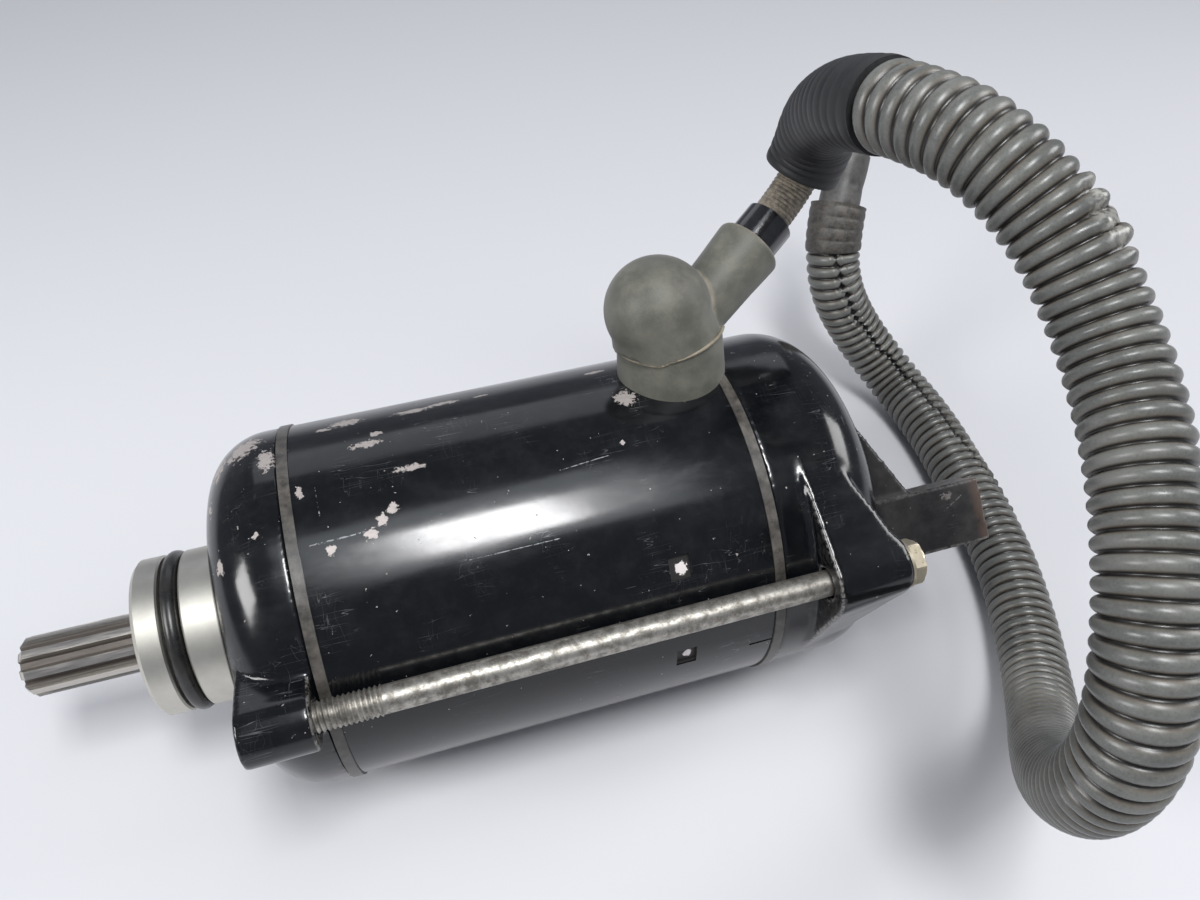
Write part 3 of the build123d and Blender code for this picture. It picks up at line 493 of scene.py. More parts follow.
def ribbed_conduit():
    """Grey split conduit: satin crests, and grooves darkened with painted shade."""
    s = Shade.material("ribbed_conduit")
    here = s.place()
    crest = s.add("ShaderNodeAttribute", attribute_name="crest").outputs["Fac"]
    grain = s.group("grain", Position=here, Coarse=0.12, Fine=3.0)
    shell = s.mix(s.ramp(grain.outputs["Value"], 0.35, 0.65), (0.082, 0.085, 0.08, 1),
                  (0.14, 0.142, 0.131, 1))
    stained = s.ramp(s.noise(here, 0.16, 4), 0.35, 0.65, 0.35, 0.8)
    edge = s.calc("MULTIPLY", s.ramp(crest, 0.95, 0.6), stained)
    colour = s.mix(edge, shell, (0.12, 0.095, 0.07, 1))
    # Painted shade: the grooves between the ribs are darkened almost to black.
    colour = s.mix(s.ramp(crest, 0.74, 0.42), colour, (0.01, 0.009, 0.008, 1))
    dust = s.group("settled dust", Position=here, Amount=0.14).outputs["Mask"]
    colour = s.mix(dust, colour, (0.3, 0.28, 0.24, 1))
    # Painted shade: the slit is coloured near black, more so in the grooves.
    opened = s.add("ShaderNodeAttribute", attribute_name="slit").outputs["Fac"]
    colour = s.mix(s.ramp(opened, 0.3, 0.6), colour, (0.004, 0.004, 0.004, 1))
    worn = s.add("ShaderNodeAttribute", attribute_name="torn").outputs["Fac"]
    colour = s.mix(s.calc("MULTIPLY", worn, s.ramp(s.noise(here, 0.9, 5), 0.4, 0.6)), colour,
                   (0.33, 0.32, 0.29, 1))
    return s.finish(colour, s.ramp(grain.outputs["Value"], 0.3, 0.7, 0.28, 0.4), 0.0,
                    s.relief(grain.outputs["Height"], 0.08))


def make_finishes():
    """Every finish by name."""
    made = {
        "yoke": yoke_enamel(),
        "cover": cover_enamel(),
        "shaft": toothed_steel(),
        "bolt": zinc_bolt(),
        "boot": boot_rubber(),
        "conduit": ribbed_conduit(),
    }
    made["seal"] = plain_finish("aged_joint_seal", (0.02, 0.018, 0.016, 1), (0.075, 0.068, 0.06, 1), 0.36,
                                coarse=0.5, dust=0.35)
    made["o_ring"] = plain_finish("nose_o_ring_rubber", (0.012, 0.012, 0.012, 1), (0.025, 0.024, 0.022, 1),
                                  0.3, bump=0.05)
    made["black_rubber"] = plain_finish("black_rubber", (0.014, 0.014, 0.014, 1), (0.03, 0.03, 0.03, 1),
                                        0.45)
    made["collar"] = plain_finish("shrunk_collar", (0.008, 0.008, 0.009, 1), (0.016, 0.016, 0.018, 1),
                                  0.16, coat=0.6, coarse=0.8, fine=2.0, bump=0.3)
    made["jacket"] = plain_finish("cable_jacket", (0.02, 0.02, 0.02, 1), (0.035, 0.034, 0.033, 1), 0.4)
    made["wrap"] = plain_finish("woven_wrap", (0.09, 0.072, 0.055, 1), (0.3, 0.26, 0.2, 1), 0.75, coarse=1.2,
                                fine=9.0, bump=0.5, sheen=0.2)
    made["tape"] = plain_finish("wrapping_tape", (0.006, 0.0065, 0.007, 1), (0.016, 0.0165, 0.017, 1),
                                0.55, coarse=0.2, fine=4.0, dust=0.04)
    made["end_tape"] = plain_finish("cracked_end_tape", (0.018, 0.016, 0.014, 1), (0.07, 0.062, 0.053, 1),
                                    0.5, coarse=0.6, fine=3.0, bump=0.7, dust=0.2)
    made["lip"] = plain_finish("rubbed_rubber_lip", (0.16, 0.14, 0.1, 1), (0.3, 0.26, 0.19, 1), 0.6)
    made["sleeve"] = plain_finish("grey_sleeve", (0.03, 0.03, 0.03, 1), (0.075, 0.072, 0.068, 1), 0.45,
                                  dust=0.3)
    made["steel"] = plain_finish("bright_steel", (0.45, 0.45, 0.45, 1), (0.62, 0.62, 0.61, 1), 0.25, 1.0)
    made["plated"] = plain_finish("zinc_plate", (0.4, 0.39, 0.36, 1), (0.6, 0.59, 0.56, 1), 0.4, 1.0)
    made["laminated"] = plain_finish("sheet_steel_stack", (0.12, 0.12, 0.125, 1), (0.25, 0.25, 0.26, 1),
                                     0.5, 0.8, fine=20.0)
    made["copper"] = plain_finish("worn_copper", (0.5, 0.22, 0.12, 1), (0.78, 0.4, 0.26, 1), 0.3, 1.0)
    made["varnished"] = plain_finish("varnished_wire", (0.2, 0.05, 0.02, 1), (0.42, 0.14, 0.05, 1), 0.3,
                                     0.3, fine=3.0, bump=0.6, coat=0.4)
    made["tinned"] = plain_finish("tinned_copper", (0.5, 0.49, 0.46, 1), (0.72, 0.71, 0.68, 1), 0.35, 1.0)
    made["bronze"] = plain_finish("oily_bronze", (0.3, 0.18, 0.07, 1), (0.5, 0.33, 0.15, 1), 0.4, 0.9)
    made["ferrite"] = plain_finish("pressed_ferrite", (0.03, 0.03, 0.033, 1), (0.07, 0.07, 0.075, 1), 0.7)
    made["carbon"] = plain_finish("brush_carbon", (0.02, 0.02, 0.022, 1), (0.06, 0.055, 0.05, 1), 0.6)
    made["phenolic"] = plain_finish("brown_phenolic", (0.08, 0.04, 0.02, 1), (0.16, 0.09, 0.05, 1), 0.5)
    return made


NODE_FINISHES = {
    "yoke": ("yoke_tube",),
    "cover": ("front_cover", "rear_cover"),
    "shaft": ("armature_shaft",),
    "bolt": ("through_bolts",),
    "boot": ("terminal_boot",),
    "conduit": ("conduit",),
    "seal": ("front_joint_seal", "rear_joint_seal"),
    "o_ring": ("nose_o_ring", "terminal_o_ring"),
    "black_rubber": ("shaft_seal",),
    "collar": ("boot_collar",),
    "jacket": ("cable",),
    "wrap": ("fibre_wrap",),
    "tape": ("conduit_tape",),
    "sleeve": ("far_sleeve",),
    "steel": ("bearing_outer_ring", "bearing_inner_ring", "bearing_balls", "bearing_cage", "bearing_circlip",
              "steel_thrust_washer", "magnet_clips", "spring_washer", "brush_spring_1", "brush_spring_2",
              "brush_spring_3", "brush_spring_4"),
    "plated": ("brush_plate", "brush_boxes", "terminal_stud", "terminal_washer", "terminal_nuts"),
    "laminated": ("armature_core",),
    "copper": ("commutator_segments", "terminal_strap"),
    "varnished": ("armature_windings",),
    "tinned": ("terminal_lug", "far_lug"),
    "bronze": ("rear_bush",),
    "ferrite": ("field_magnets",),
    "carbon": ("brush_1", "brush_2", "brush_3", "brush_4"),
    "phenolic": ("commutator_hub", "inner_insulator", "outer_insulator", "fibre_thrust_washer"),
}


def paint_nodes(finishes):
    """Puts each finish on its CAD nodes."""
    for finish, names in NODE_FINISHES.items():
        for name in names:
            for holder in frame["nodes"][name].material_slots:
                holder.material = finishes[finish]


# ---------------------------------------------------------------- cable and conduit

CABLE_ROUTE = (
    (95.046, 17.105, 42.303), (109.7, 25.4, 50.1), (113.7, 26.6, 58.3), (113.3, 24.0, 66.6),
    (111.3, 16.3, 73.2), (109.5, 7.6, 78.5), (109.4, -3.1, 83.0), (113.5, -15.3, 84.2),
    (119.5, -27.3, 78.1), (122.1, -40.6, 68.4), (118.6, -55.7, 61.6), (113.6, -69.2, 52.9),
    (110.9, -77.7, 41.2), (111.6, -78.4, 26.5), (118.0, -72.0, 9.0), (129.5, -62.0, -9.0),
    (142.0, -49.5, -22.5), (151.0, -33.0, -25.8), (157.5, -14.0, -25.8), (160.5, 7.0, -25.8),
    (162.5, 27.0, -25.8), (160.5, 44.0, -24.5), (152.0, 54.5, -13.5), (145.0, 57.5, 0.0),
    (145.5, 63.5, 12.5), (150.0, 70.0, 20.5),
)


def route_curve(name):
    """The cable's line as a smooth open curve."""
    data = bpy.data.curves.new(name, "CURVE")
    data.dimensions = "3D"
    data.resolution_u = 24
    spline = data.splines.new("NURBS")
    spline.points.add(len(CABLE_ROUTE) - 1)
    for point, place in zip(spline.points, CABLE_ROUTE):
        point.co = (*(Vector(place) * MM), 1)
    spline.order_u = 3
    spline.use_endpoint_u = True
    made = bpy.data.objects.new(name, data)
    bpy.context.collection.objects.link(made)
    return made


def points_on(curve):
    """Points that follow the curve."""
    mesh = bpy.data.meshes.new_from_object(curve)
    found = [vertex.co.copy() for vertex in mesh.vertices]
    bpy.data.meshes.remove(mesh)
    return found


def stretch_of(points, start, end):
    """The part of a line between two distances along it."""
    kept, run = [], 0.0
    for a, b in zip(points, points[1:]):
        step = (b - a).length
        for mark in (start, end):
            if run <= mark < run + step:
                kept.append(a.lerp(b, (mark - run) / step))
        if start < run + step < end:
            kept.append(b)
        run += step
    return kept


def length_of(points):
    return sum((b - a).length for a, b in zip(points, points[1:]))


class Flow:
    """A geometry node tree with short calls."""

    def __init__(self, name, inputs):
        self.tree = bpy.data.node_groups.new(name, "GeometryNodeTree")
        face = self.tree.interface
        face.new_socket("Geometry", in_out="INPUT", socket_type="NodeSocketGeometry")
        for label, kind, value in inputs:
            socket = face.new_socket(label, in_out="INPUT", socket_type=kind)
            if value is not None:
                socket.default_value = value
        face.new_socket("Geometry", in_out="OUTPUT", socket_type="NodeSocketGeometry")
        self.given = self.add("NodeGroupInput").outputs
        self.out = self.add("NodeGroupOutput").inputs

    def add(self, kind, inputs=None, **options):
        made = self.tree.nodes.new(kind)
        for name, value in options.items():
            setattr(made, name, value)
        for name, value in (inputs or {}).items():
            self.join(made.inputs[name], value)
        return made

    def join(self, socket, value):
        if isinstance(value, bpy.types.NodeSocket):
            self.tree.links.new(value, socket)
        else:
            socket.default_value = value

    def calc(self, operation, *values):
        return self.add("ShaderNodeMath", dict(enumerate(values)), operation=operation).outputs[0]

    def store(self, geometry, name, kind, value):
        inputs = {"Geometry": geometry, "Name": name, "Value": value}
        return self.add("GeometryNodeStoreNamedAttribute", inputs, data_type=kind).outputs["Geometry"]

    def named(self, name, kind):
        return self.add("GeometryNodeInputNamedAttribute", {"Name": name},
                        data_type=kind).outputs["Attribute"]

    def finish(self, geometry):
        """Smooth shading, the given finish and real geometry out."""
        smooth = self.add("GeometryNodeSetShadeSmooth", {"Geometry": geometry}).outputs["Geometry"]
        dressed = self.add("GeometryNodeSetMaterial", {"Geometry": smooth, "Material": self.given["Finish"]})
        real = self.add("GeometryNodeRealizeInstances", {"Geometry": dressed.outputs["Geometry"]})
        self.join(self.out["Geometry"], real.outputs["Geometry"])


SLIT_LINE = (
    (262, 0.26), (272, 0.22), (279, 0.17), (286, 0.13), (300, 0.1), (320, 0.06), (340, 0.02), (351, -0.025),
)
SLIT_HALF = 0.0126
SLIT_LIP_END = 0.0376
SLIT_DEPTH = 1.0
SLIT_LIP = 0.25
TORN_PLACE = 72.0
TORN_REACH = 5.5
TORN_RING = 0.42
TORN_RING_REACH = 0.11
TORN_HEIGHT = 1.7


def ribbed_tube_flow():
    """Tube along a line whose radius rises and falls with each rib, with its places stored on it."""
    f = Flow("ribbed tube", [
        ("Pitch", "NodeSocketFloat", 2.45 * MM), ("Crest", "NodeSocketFloat", 6.5 * MM),
        ("Groove", "NodeSocketFloat", 5.6 * MM), ("Roundness", "NodeSocketFloat", 0.55),
        ("Sides", "NodeSocketInt", 40), ("Steps", "NodeSocketInt", 10),
        ("Finish", "NodeSocketMaterial", None),
    ])
    line = f.add("GeometryNodeMeshToCurve", {"Mesh": f.given["Geometry"]}).outputs["Curve"]
    step = f.calc("DIVIDE", f.given["Pitch"], f.given["Steps"])
    line = f.add("GeometryNodeResampleCurve", {"Curve": line, "Length": step},
                 mode="LENGTH").outputs["Curve"]
    distance = f.add("GeometryNodeSplineParameter").outputs["Length"]
    turn = f.calc("MULTIPLY", f.calc("DIVIDE", distance, f.given["Pitch"]), pi)
    wave = f.calc("POWER", f.calc("ABSOLUTE", f.calc("SINE", turn)), f.given["Roundness"])
    radius = f.calc("ADD", f.given["Groove"],
                    f.calc("MULTIPLY", wave, f.calc("SUBTRACT", f.given["Crest"], f.given["Groove"])))
    line = f.store(line, "crest", "FLOAT", wave)
    line = f.store(line, "along", "FLOAT", distance)
    ring = f.add("GeometryNodeCurvePrimitiveCircle", {"Resolution": f.given["Sides"], "Radius": 1.0})
    ring = f.store(ring.outputs["Curve"], "turn", "FLOAT",
                   f.add("GeometryNodeSplineParameter").outputs["Factor"])
    tube = f.add("GeometryNodeCurveToMesh", {"Curve": line, "Profile Curve": ring, "Scale": radius,
                                             "Fill Caps": True}).outputs["Mesh"]
    f.finish(tube)
    return f.tree


def plain_mesh(maker, name):
    """The maker's finished geometry as a mesh object of its own; the maker goes."""
    bpy.context.view_layer.update()
    shown = maker.evaluated_get(bpy.context.evaluated_depsgraph_get())
    mesh = bpy.data.meshes.new_from_object(shown)
    mesh.name = name
    made = bpy.data.objects.new(name, mesh)
    bpy.context.collection.objects.link(made)
    bpy.data.objects.remove(maker)
    return made


def run_flow(tree, points, name, **values):
    """Runs a tree on a line of points and keeps what it makes."""
    mesh = bpy.data.meshes.new(name + "_line")
    mesh.from_pydata(points, [(i, i + 1) for i in range(len(points) - 1)], [])
    maker = bpy.data.objects.new(name + "_line", mesh)
    bpy.context.collection.objects.link(maker)
    modifier = maker.modifiers.new("flow", "NODES")
    modifier.node_group = tree
    for socket in tree.interface.items_tree:
        key = socket.name.lower().replace(" ", "_")
        if socket.in_out == "INPUT" and key in values:
            modifier[socket.identifier] = values[key]
    return plain_mesh(maker, name)


def value_of(mesh, name):
    """A point value of a mesh as an array."""
    values = np.zeros(len(mesh.vertices))
    mesh.attributes[name].data.foreach_get("value", values)
    return values


def give_value(mesh, name, values):
    """Stores an array as a point value of a mesh."""
    made = mesh.attributes.new(name, "FLOAT", "POINT")
    made.data.foreach_set("value", values.astype(np.float32))


def round_gap(turn, centre):
    """Signed share of a turn from a place on the ring, the short way round."""
    return (turn - centre + 0.5) % 1.0 - 0.5


def split_and_torn(shell):
    """Opens the conduit along its slit and frays the ribs where it is torn."""
    mesh = shell.data
    count = len(mesh.vertices)
    along, turn, crest = (value_of(mesh, name) for name in ("along", "turn", "crest"))
    along = along / MM
    places = np.zeros(count * 3)
    outward = np.zeros(count * 3)
    mesh.vertices.foreach_get("co", places)
    mesh.vertices.foreach_get("normal", outward)
    places, outward = places.reshape(-1, 3), outward.reshape(-1, 3)
    line = np.interp(along, [place for place, _ in SLIT_LINE], [ring for _, ring in SLIT_LINE])
    beside = round_gap(turn, line)
    opened = along > SLIT_LINE[0][0]
    middle = (np.abs(beside) < SLIT_HALF) & opened
    places[middle] -= outward[middle] * SLIT_DEPTH * MM
    lip = (beside >= SLIT_HALF) & (beside < SLIT_LIP_END) & opened
    places[lip] += outward[lip] * SLIT_LIP * MM
    ring_gap = round_gap(turn, TORN_RING) / TORN_RING_REACH
    reach = np.clip(1.0 - ((along - TORN_PLACE) / TORN_REACH) ** 2 - ring_gap ** 2, 0.0, 1.0)
    ring = 2 * pi * turn
    ragged = 0.5 + 0.25 * np.sin(1.7 * along + 3.0 * ring) + 0.25 * np.sin(7.0 * ring - 0.8 * along)
    places += outward * (np.sqrt(reach) * (ragged - 0.4) * TORN_HEIGHT * MM)[:, None]
    mesh.vertices.foreach_set("co", places.ravel())
    # Stores where the slit runs, stronger in the grooves, for the painted shade in it.
    give_value(mesh, "slit", np.where(middle, 0.5 + 0.5 * (1.0 - crest), 0.0))
    give_value(mesh, "torn", np.clip(reach * 2.0, 0.0, 1.0) * (0.5 + 0.5 * ragged))


def make_cables(finishes, tree):
    """The cable on its smooth line, and the wrap, conduit, tape and far sleeve round it."""
    cable = route_curve("cable_core")
    points = points_on(cable)
    total = length_of(points)
    cable.data.bevel_depth = 3.2 * MM
    cable.data.bevel_resolution = 6
    cable.data.use_fill_caps = True
    cable.data.materials.append(finishes["jacket"])
    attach(cable, "housing")
    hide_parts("cable")

    wrap_start, shell_start, tape_end = 13.6 * MM, 24.4 * MM, 63.5 * MM
    shell_end = total - 6.5 * MM
    last = (points[-1] - points[-2]).normalized()
    wrap = run_flow(tree, stretch_of(points, wrap_start, shell_start + 2 * MM), "ribbed_wrap",
                    pitch=0.85 * MM,
                    crest=3.6 * MM, groove=3.35 * MM, sides=32, steps=8, finish=finishes["wrap"])
    shell_points = stretch_of(points, shell_start, shell_end)
    shell = run_flow(tree, shell_points, "split_conduit", pitch=2.45 * MM, crest=6.5 * MM, groove=5.3 * MM,
                     sides=40, steps=10, finish=finishes["conduit"])
    split_and_torn(shell)
    tape = run_flow(tree, stretch_of(points, shell_start - 0.3 * MM, tape_end), "wound_tape",
                    pitch=2.45 * MM,
                    crest=6.9 * MM, groove=6.66 * MM, sides=48, steps=10, finish=finishes["tape"])
    end_tape = run_flow(tree, stretch_of(points, shell_end - 10.0 * MM, shell_end + 0.6 * MM),
                        "end_wrapping",
                        pitch=2.45 * MM, crest=6.75 * MM, groove=6.5 * MM, sides=48, steps=10,
                        finish=finishes["end_tape"])
    sleeve = run_flow(tree, stretch_of(points, total - 10 * MM, total) + [points[-1] + last * (6.4 * MM)],
                      "far_sleeve_tube", pitch=9.0 * MM, crest=4.95 * MM, groove=4.7 * MM, sides=32,
                      steps=12, finish=finishes["sleeve"])
    rides = ((wrap, "fibre_wrap", "woven_wrap"), (shell, "conduit", "conduit_plastic"),
             (tape, "conduit_tape", "tape"),
             (end_tape, "conduit_tape", "tape"), (sleeve, "far_sleeve", "grey_sleeve"))
    for piece, node, slot in rides:
        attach(piece, "housing")
        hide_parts(node)


# ---------------------------------------------------------------- shaped pieces

TERMINAL = Vector((0, 0.284, 0.959)).normalized()
TERMINAL_FOOT = Vector((83.2, 0, 0))
TERMINAL_SIDE = TERMINAL.cross(Vector((1, 0, 0)))
DOME_CENTRE = Vector((81.3, 0, 0)) + TERMINAL * 44.0
NECK_START = Vector((83.2, 10.4, 36.0))
NECK = Vector((0.7897, 0.4470, 0.4202)).normalized()
BOLT_PLACES = ((-31.86, 14.43), (31.86, -14.43))
HOOD_LIP = (
    (-180, 38.6), (-135, 37.9), (-90, 37.7), (-64, 37.6), (-39, 37.45), (-29, 37.35), (-24, 37.6),
    (-20, 38.0),
    (-16, 38.15), (2, 38.75), (17, 39.3), (33, 39.8), (50, 40.2), (90, 41.0), (135, 40.0), (180, 38.6),
)


def blend(table, value):
    """Height read from a table of angles and heights."""
    for (a, low), (b, high) in zip(table, table[1:]):
        if a <= value <= b:
            return low + (high - low) * (value - a) / (b - a)
    return table[-1][1]


def turned(axis_start, axis, profile, sides=64):
    """Rings of points round an axis; each profile row is a distance along and a radius."""
    axis = Vector(axis).normalized()
    across = axis.orthogonal().normalized()
    other = axis.cross(across)
    rings = []
    for along, radius in profile:
        middle = Vector(axis_start) + axis * along
        rings.append([middle + (across * cos(t) + other * sin(t)) * radius
                      for t in (2 * pi * i / sides for i in range(sides))])
    return rings


def shell_of(name, ring_sets, finish, sharp=radians(40)):
    """Closed mesh from sets of rings in millimetres, each set capped at both ends."""
    mesh = bmesh.new()
    for rings in ring_sets:
        rows = [[mesh.verts.new(point * MM) for point in ring] for ring in rings]
        for row, after in zip(rows, rows[1:]):
            for i in range(len(row)):
                j = (i + 1) % len(row)
                mesh.faces.new((row[i], row[j], after[j], after[i]))
        mesh.faces.new(rows[0][::-1])
        mesh.faces.new(rows[-1])
    bmesh.ops.recalc_face_normals(mesh, faces=mesh.faces)
    return object_from(name, mesh, finish, sharp)


def object_from(name, mesh, finish, sharp=None):
    """Object at the origin from a working mesh, smooth apart from its sharp edges."""
    data = bpy.data.meshes.new(name)
    for face in mesh.faces:
        face.smooth = True
    if sharp is not None:
        for edge in mesh.edges:
            edge.smooth = not (edge.is_manifold and edge.calc_face_angle() > sharp)
    mesh.to_mesh(data)
    mesh.free()
    data.materials.append(finish)
    made = bpy.data.objects.new(name, data)
    bpy.context.collection.objects.link(made)
    return made


def merged(name, pieces, finish):
    """One object from several, which go."""
    mesh = bmesh.new()
    for piece in pieces:
        mesh.from_mesh(piece.data)
        bpy.data.objects.remove(piece)
    data = bpy.data.meshes.new(name)
    mesh.to_mesh(data)
    mesh.free()
    data.materials.clear()
    data.materials.append(finish)
    made = bpy.data.objects.new(name, data)
    bpy.context.collection.objects.link(made)
    return made


def softened(name, maker, voxel, rounds):
    """The maker remeshed as one skin, with its corners rounded like a casting."""
    skin = maker.modifiers.new("skin", "REMESH")
    skin.mode = "VOXEL"
    skin.voxel_size = voxel * MM
    skin.use_smooth_shade = True
    if rounds:
        ease = maker.modifiers.new("ease", "SMOOTH")
        ease.factor = 0.5
        ease.iterations = rounds
    return plain_mesh(maker, name)


def rod_flow():
    """Rod along a line with a screw thread cut in it."""
    f = Flow("threaded rod", [
        ("Pitch", "NodeSocketFloat", 0.8 * MM), ("Depth", "NodeSocketFloat", 0.42 * MM),
        ("Radius", "NodeSocketFloat", 2.5 * MM), ("Steps", "NodeSocketInt", 8),
        ("Sides", "NodeSocketInt", 24), ("Finish", "NodeSocketMaterial", None),
    ])
    line = f.add("GeometryNodeMeshToCurve", {"Mesh": f.given["Geometry"]}).outputs["Curve"]
    step = f.calc("DIVIDE", f.given["Pitch"], f.given["Steps"])
    line = f.add("GeometryNodeResampleCurve", {"Curve": line, "Length": step},
                 mode="LENGTH").outputs["Curve"]
    along = f.add("GeometryNodeSplineParameter").outputs["Length"]
    spine = f.add("GeometryNodeInputPosition").outputs["Position"]
    line = f.store(line, "along", "FLOAT", along)
    line = f.store(line, "spine", "FLOAT_VECTOR", spine)
    ring = f.add("GeometryNodeCurvePrimitiveCircle", {"Resolution": f.given["Sides"], "Radius": 1.0})
    turn = f.add("GeometryNodeSplineParameter").outputs["Factor"]
    ring = f.store(ring.outputs["Curve"], "turn", "FLOAT", turn)
    rod = f.add("GeometryNodeCurveToMesh", {"Curve": line, "Profile Curve": ring, "Scale": f.given["Radius"],
                                            "Fill Caps": True}).outputs["Mesh"]
    phase = f.calc("SUBTRACT", f.calc("DIVIDE", f.named("along", "FLOAT"), f.given["Pitch"]),
                   f.named("turn", "FLOAT"))
    cut = f.calc("MULTIPLY", f.calc("PINGPONG", phase, 0.5), f.calc("MULTIPLY", f.given["Depth"], -2.0))
    outward = f.add("ShaderNodeVectorMath", {0: spine, 1: f.named("spine", "FLOAT_VECTOR")},
                    operation="SUBTRACT")
    outward = f.add("ShaderNodeVectorMath", {0: outward.outputs[0]}, operation="NORMALIZE").outputs[0]
    shift = f.add("ShaderNodeVectorMath", {0: outward, "Scale": cut}, operation="SCALE").outputs[0]
    rod = f.add("GeometryNodeSetPosition", {"Geometry": rod, "Offset": shift}).outputs["Geometry"]
    f.finish(rod)
    return f.tree


def make_bolts(finishes):
    """Both through-bolts: rolled thread, plain shank, flange and chamfered hexagon head."""
    tree = rod_flow()
    pieces = []
    heads = []
    for y, z in BOLT_PLACES:
        place = Vector((0, y, z))
        thread = [(place + Vector((x, 0, 0))) * MM for x in (3.3, 23.1)]
        shank = [(place + Vector((x, 0, 0))) * MM for x in (22.9, 111.3)]
        pieces.append(run_flow(tree, thread, "bolt_thread", finish=finishes["bolt"]))
        pieces.append(run_flow(tree, shank, "bolt_shank", pitch=20 * MM, depth=0.0, radius=2.25 * MM,
                               finish=finishes["bolt"]))
        rings = []
        for along, limit in ((111.25, 4.15), (111.3, 4.25), (111.85, 4.2), (112.0, 3.75), (112.01, 9), (113.7, 9),
                             (114.0, 3.85), (114.2, 3.45), (114.15, 2.6), (113.9, 1.8), (113.85, 0.8)):
            ring = []
            for i in range(72):
                t = 2 * pi * i / 72
                flat = 3.5 / cos((t - radians(20) + pi / 6) % (pi / 3) - pi / 6)
                reach = min(flat, limit) if along > 112.005 else limit
                ring.append(place + Vector((along, -reach * sin(t), reach * cos(t))))
            rings.append(ring)
        heads.append(rings)
    pieces.append(shell_of("bolt_heads", heads, finishes["bolt"], radians(25)))
    bolts = merged("threaded_through_bolts", pieces, finishes["bolt"])
    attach(bolts, "housing")
    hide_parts("through_bolts")


def closed_ring(profile, sides):
    """Mesh of a closed profile turned right round the motor's axis."""
    mesh = bmesh.new()
    rows = [[mesh.verts.new(point * MM) for point in ring]
            for ring in turned((0, 0, 0), (1, 0, 0), profile, sides)]
    for k, row in enumerate(rows):
        after = rows[(k + 1) % len(rows)]
        for i in range(len(row)):
            j = (i + 1) % len(row)
            mesh.faces.new((row[i], row[j], after[j], after[i]))
    bmesh.ops.recalc_face_normals(mesh, faces=mesh.faces)
    return mesh


O_RING_PLACE = -9.1
O_RING_MIDDLE = 12.9
O_RING_SECTION = 1.48


def make_o_ring(finishes):
    """Round-section ring standing a little proud of the nose."""
    turns = [2 * pi * i / 24 for i in range(24)]
    profile = [(O_RING_PLACE + O_RING_SECTION * cos(t), O_RING_MIDDLE + O_RING_SECTION * sin(t)) for t in turns]
    ring = object_from("round_o_ring", closed_ring(profile, 96), finishes["o_ring"])
    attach(ring, "housing")
    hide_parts("nose_o_ring")


def on_terminal(angle, height, radius):
    """Point round the terminal, by angle from the front in degrees."""
    t = radians(angle)
    return TERMINAL_FOOT + TERMINAL * height + (Vector((1, 0, 0)) * sin(t) - TERMINAL_SIDE * cos(t)) * radius


def make_boot(finishes, ribbed):
    """Moulded boot: skirt, hood with its lip, and the neck that the cable leaves by."""
    dome = [(9.4 * sin(t), 9.4 * cos(t)) for t in (pi * (i / 24 - 0.5) * 0.999 for i in range(25))]
    skirt = ((29.6, 9.7), (33, 9.65), (36, 9.5), (39.5, 9.3))
    neck = ((1, 5.3), (8, 5.5), (16, 5.8), (21.5, 6.15), (22.7, 6.2), (23.2, 5.8), (23.2, 4.75), (21.2, 4.7))
    hood = []
    for height, shift, radius in ((37.0, -0.35, 9.3), (39, -0.6, 9.5), (41.5, -1.2, 9.5), (44, -1.9, 9.4)):
        hood += turned(TERMINAL_FOOT + Vector((shift, 0, 0)), TERMINAL, [(height, radius)], 96)
    maker = shell_of("boot_form", [
        turned(TERMINAL_FOOT, TERMINAL, skirt, 96), hood, turned(DOME_CENTRE, TERMINAL, dome, 96),
        turned(NECK_START, NECK, neck, 96),
    ], finishes["boot"])
    boot = softened("moulded_boot", maker, 0.36, 5)
    seam = boot.data.attributes.new("seam", "FLOAT", "POINT")
    for vertex in boot.data.vertices:
        place = vertex.co / MM
        away = place - TERMINAL_FOOT
        height = away.dot(TERMINAL)
        flat = away - TERMINAL * height
        angle = atan2(flat.x, -flat.dot(TERMINAL_SIDE)) * 180 / pi
        above = height - blend(HOOD_LIP, angle)
        run = (place - NECK_START).dot(NECK)
        off_neck = (place - NECK_START - NECK * run).length - (5.3 + 0.04 * run)
        off_dome = (place - DOME_CENTRE).length - 9.4
        if 0 < above < 3 and off_neck > 0.8:
            vertex.co += flat.normalized() * (0.34 * (1 - above / 3) ** 2 * MM)
        crease = max(0.0, 1 - (abs(off_neck) + abs(off_dome)) / 1.1)
        lip = max(0.0, 1 - abs(above) / 0.45) if off_neck > 0.8 and flat.length > 7 else 0.0
        rim = max(0.0, 1 - abs(run - 23.2) / 0.8) if off_neck < 2 else 0.0
        seam.data[vertex.index].value = max(crease, lip, rim * 0.8)
    lip_path = [on_terminal(angle, blend(HOOD_LIP, angle) + 0.1, 9.52) * MM for angle in range(-180, 64, 2)]
    bead = run_flow(ribbed, lip_path, "hood_lip", pitch=1.5 * MM, crest=0.3 * MM, groove=0.3 * MM,
                    sides=12, steps=4, finish=finishes["lip"])
    for piece in (boot, bead):
        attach(piece, "housing")
        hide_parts("terminal_boot")


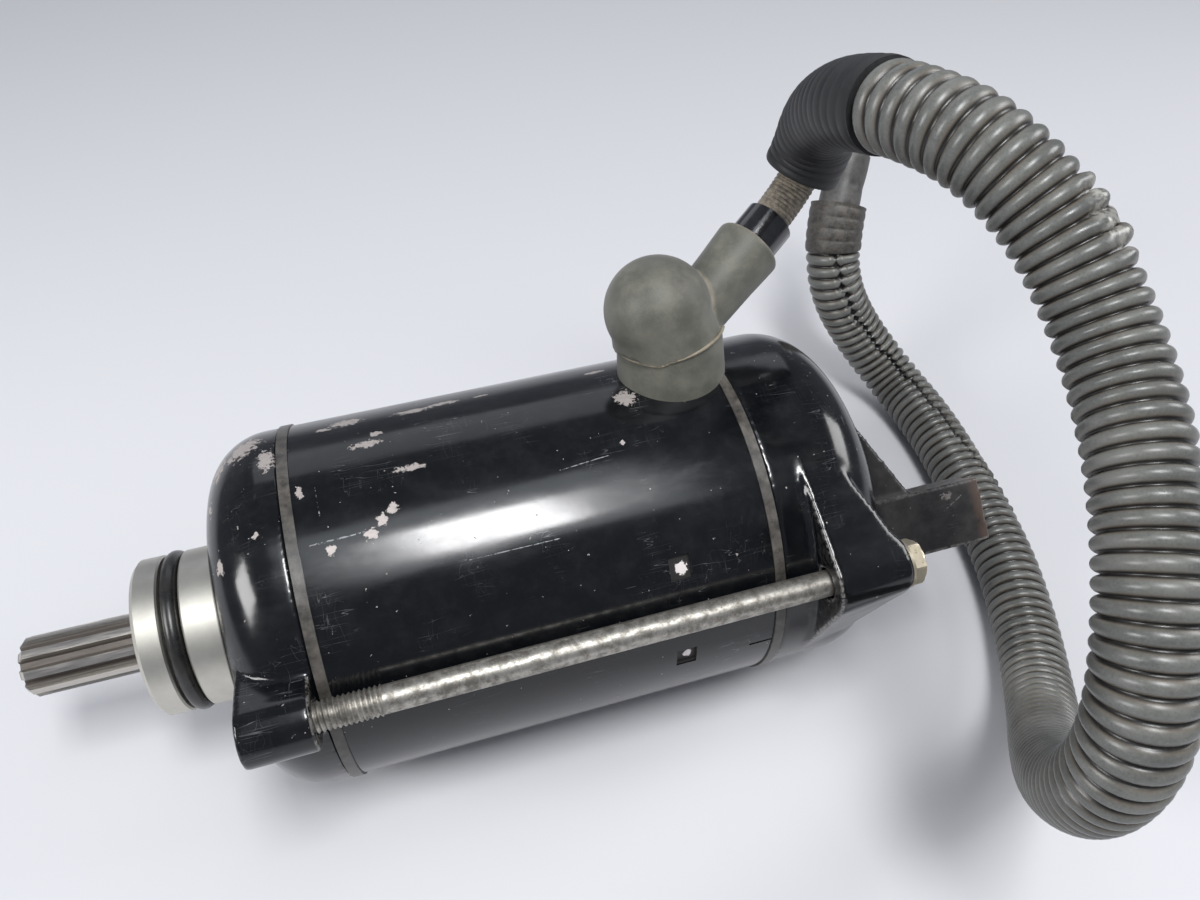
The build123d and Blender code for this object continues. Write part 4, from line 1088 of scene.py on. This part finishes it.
def cad_copy(name):
    """Working mesh of a CAD node with its doubled corners merged."""
    mesh = bmesh.new()
    mesh.from_mesh(frame["nodes"][name].data)
    bmesh.ops.remove_doubles(mesh, verts=mesh.verts, dist=0.001 * MM)
    return mesh


def make_covers(finishes):
    """Both covers as castings with rounded corners; the machined nose keeps its sharp ones."""
    mesh = cad_copy("front_cover")
    everything = list(mesh.verts) + list(mesh.edges) + list(mesh.faces)
    bmesh.ops.bisect_plane(mesh, geom=everything, plane_co=(0.3 * MM, 0, 0), plane_no=(-1, 0, 0),
                           clear_outer=True)
    bmesh.ops.holes_fill(mesh, edges=[edge for edge in mesh.edges if edge.is_boundary], sides=0)
    casting = softened("front_casting", object_from("front_form", mesh, finishes["cover"]), 0.42, 5)
    profile = ((0.9, 14.0), (-7.1, 14.0), (-7.4, 13.7), (-7.4, 11.6), (-10.8, 11.6), (-10.8, 13.7),
               (-11.1, 14.0),
               (-14.6, 14.0), (-15.3, 13.3), (-15.3, 7.0), (-14.9, 6.6), (-6.4, 6.6), (-6.4, 10.0),
               (0.9, 10.0))
    nose = object_from("machined_nose", closed_ring(profile, 128), finishes["cover"], radians(35))
    rear = softened("rear_casting", object_from("rear_form", cad_copy("rear_cover"), finishes["cover"]),
                    0.5, 4)
    for piece, node in ((casting, "front_cover"), (nose, "front_cover"), (rear, "rear_cover")):
        piece.data.materials.clear()
        piece.data.materials.append(finishes["cover"])
        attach(piece, "housing")
        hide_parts(node)


def make_springs(finishes):
    """Brush springs, each a copy of its CAD node with a mesh of its own."""
    for joint in frame["record"]["behaviour"]["joints"]:
        for spring in joint.get("deforming_nodes", ()):
            node = spring["node"]
            piece = object_from(node.replace("brush", "coil"), cad_copy(node), finishes["steel"])
            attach(piece, "housing")
            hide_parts(node)
            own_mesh(piece)


# ---------------------------------------------------------------- build

make_chip_group()
make_scratch_group()
make_line_group()
make_dust_group()
make_grain_group()
make_camera()
make_surroundings()
finishes = make_finishes()
paint_nodes(finishes)
ribbed = ribbed_tube_flow()
make_cables(finishes, ribbed)
make_bolts(finishes)
make_o_ring(finishes)
make_boot(finishes, ribbed)
make_covers(finishes)
make_springs(finishes)
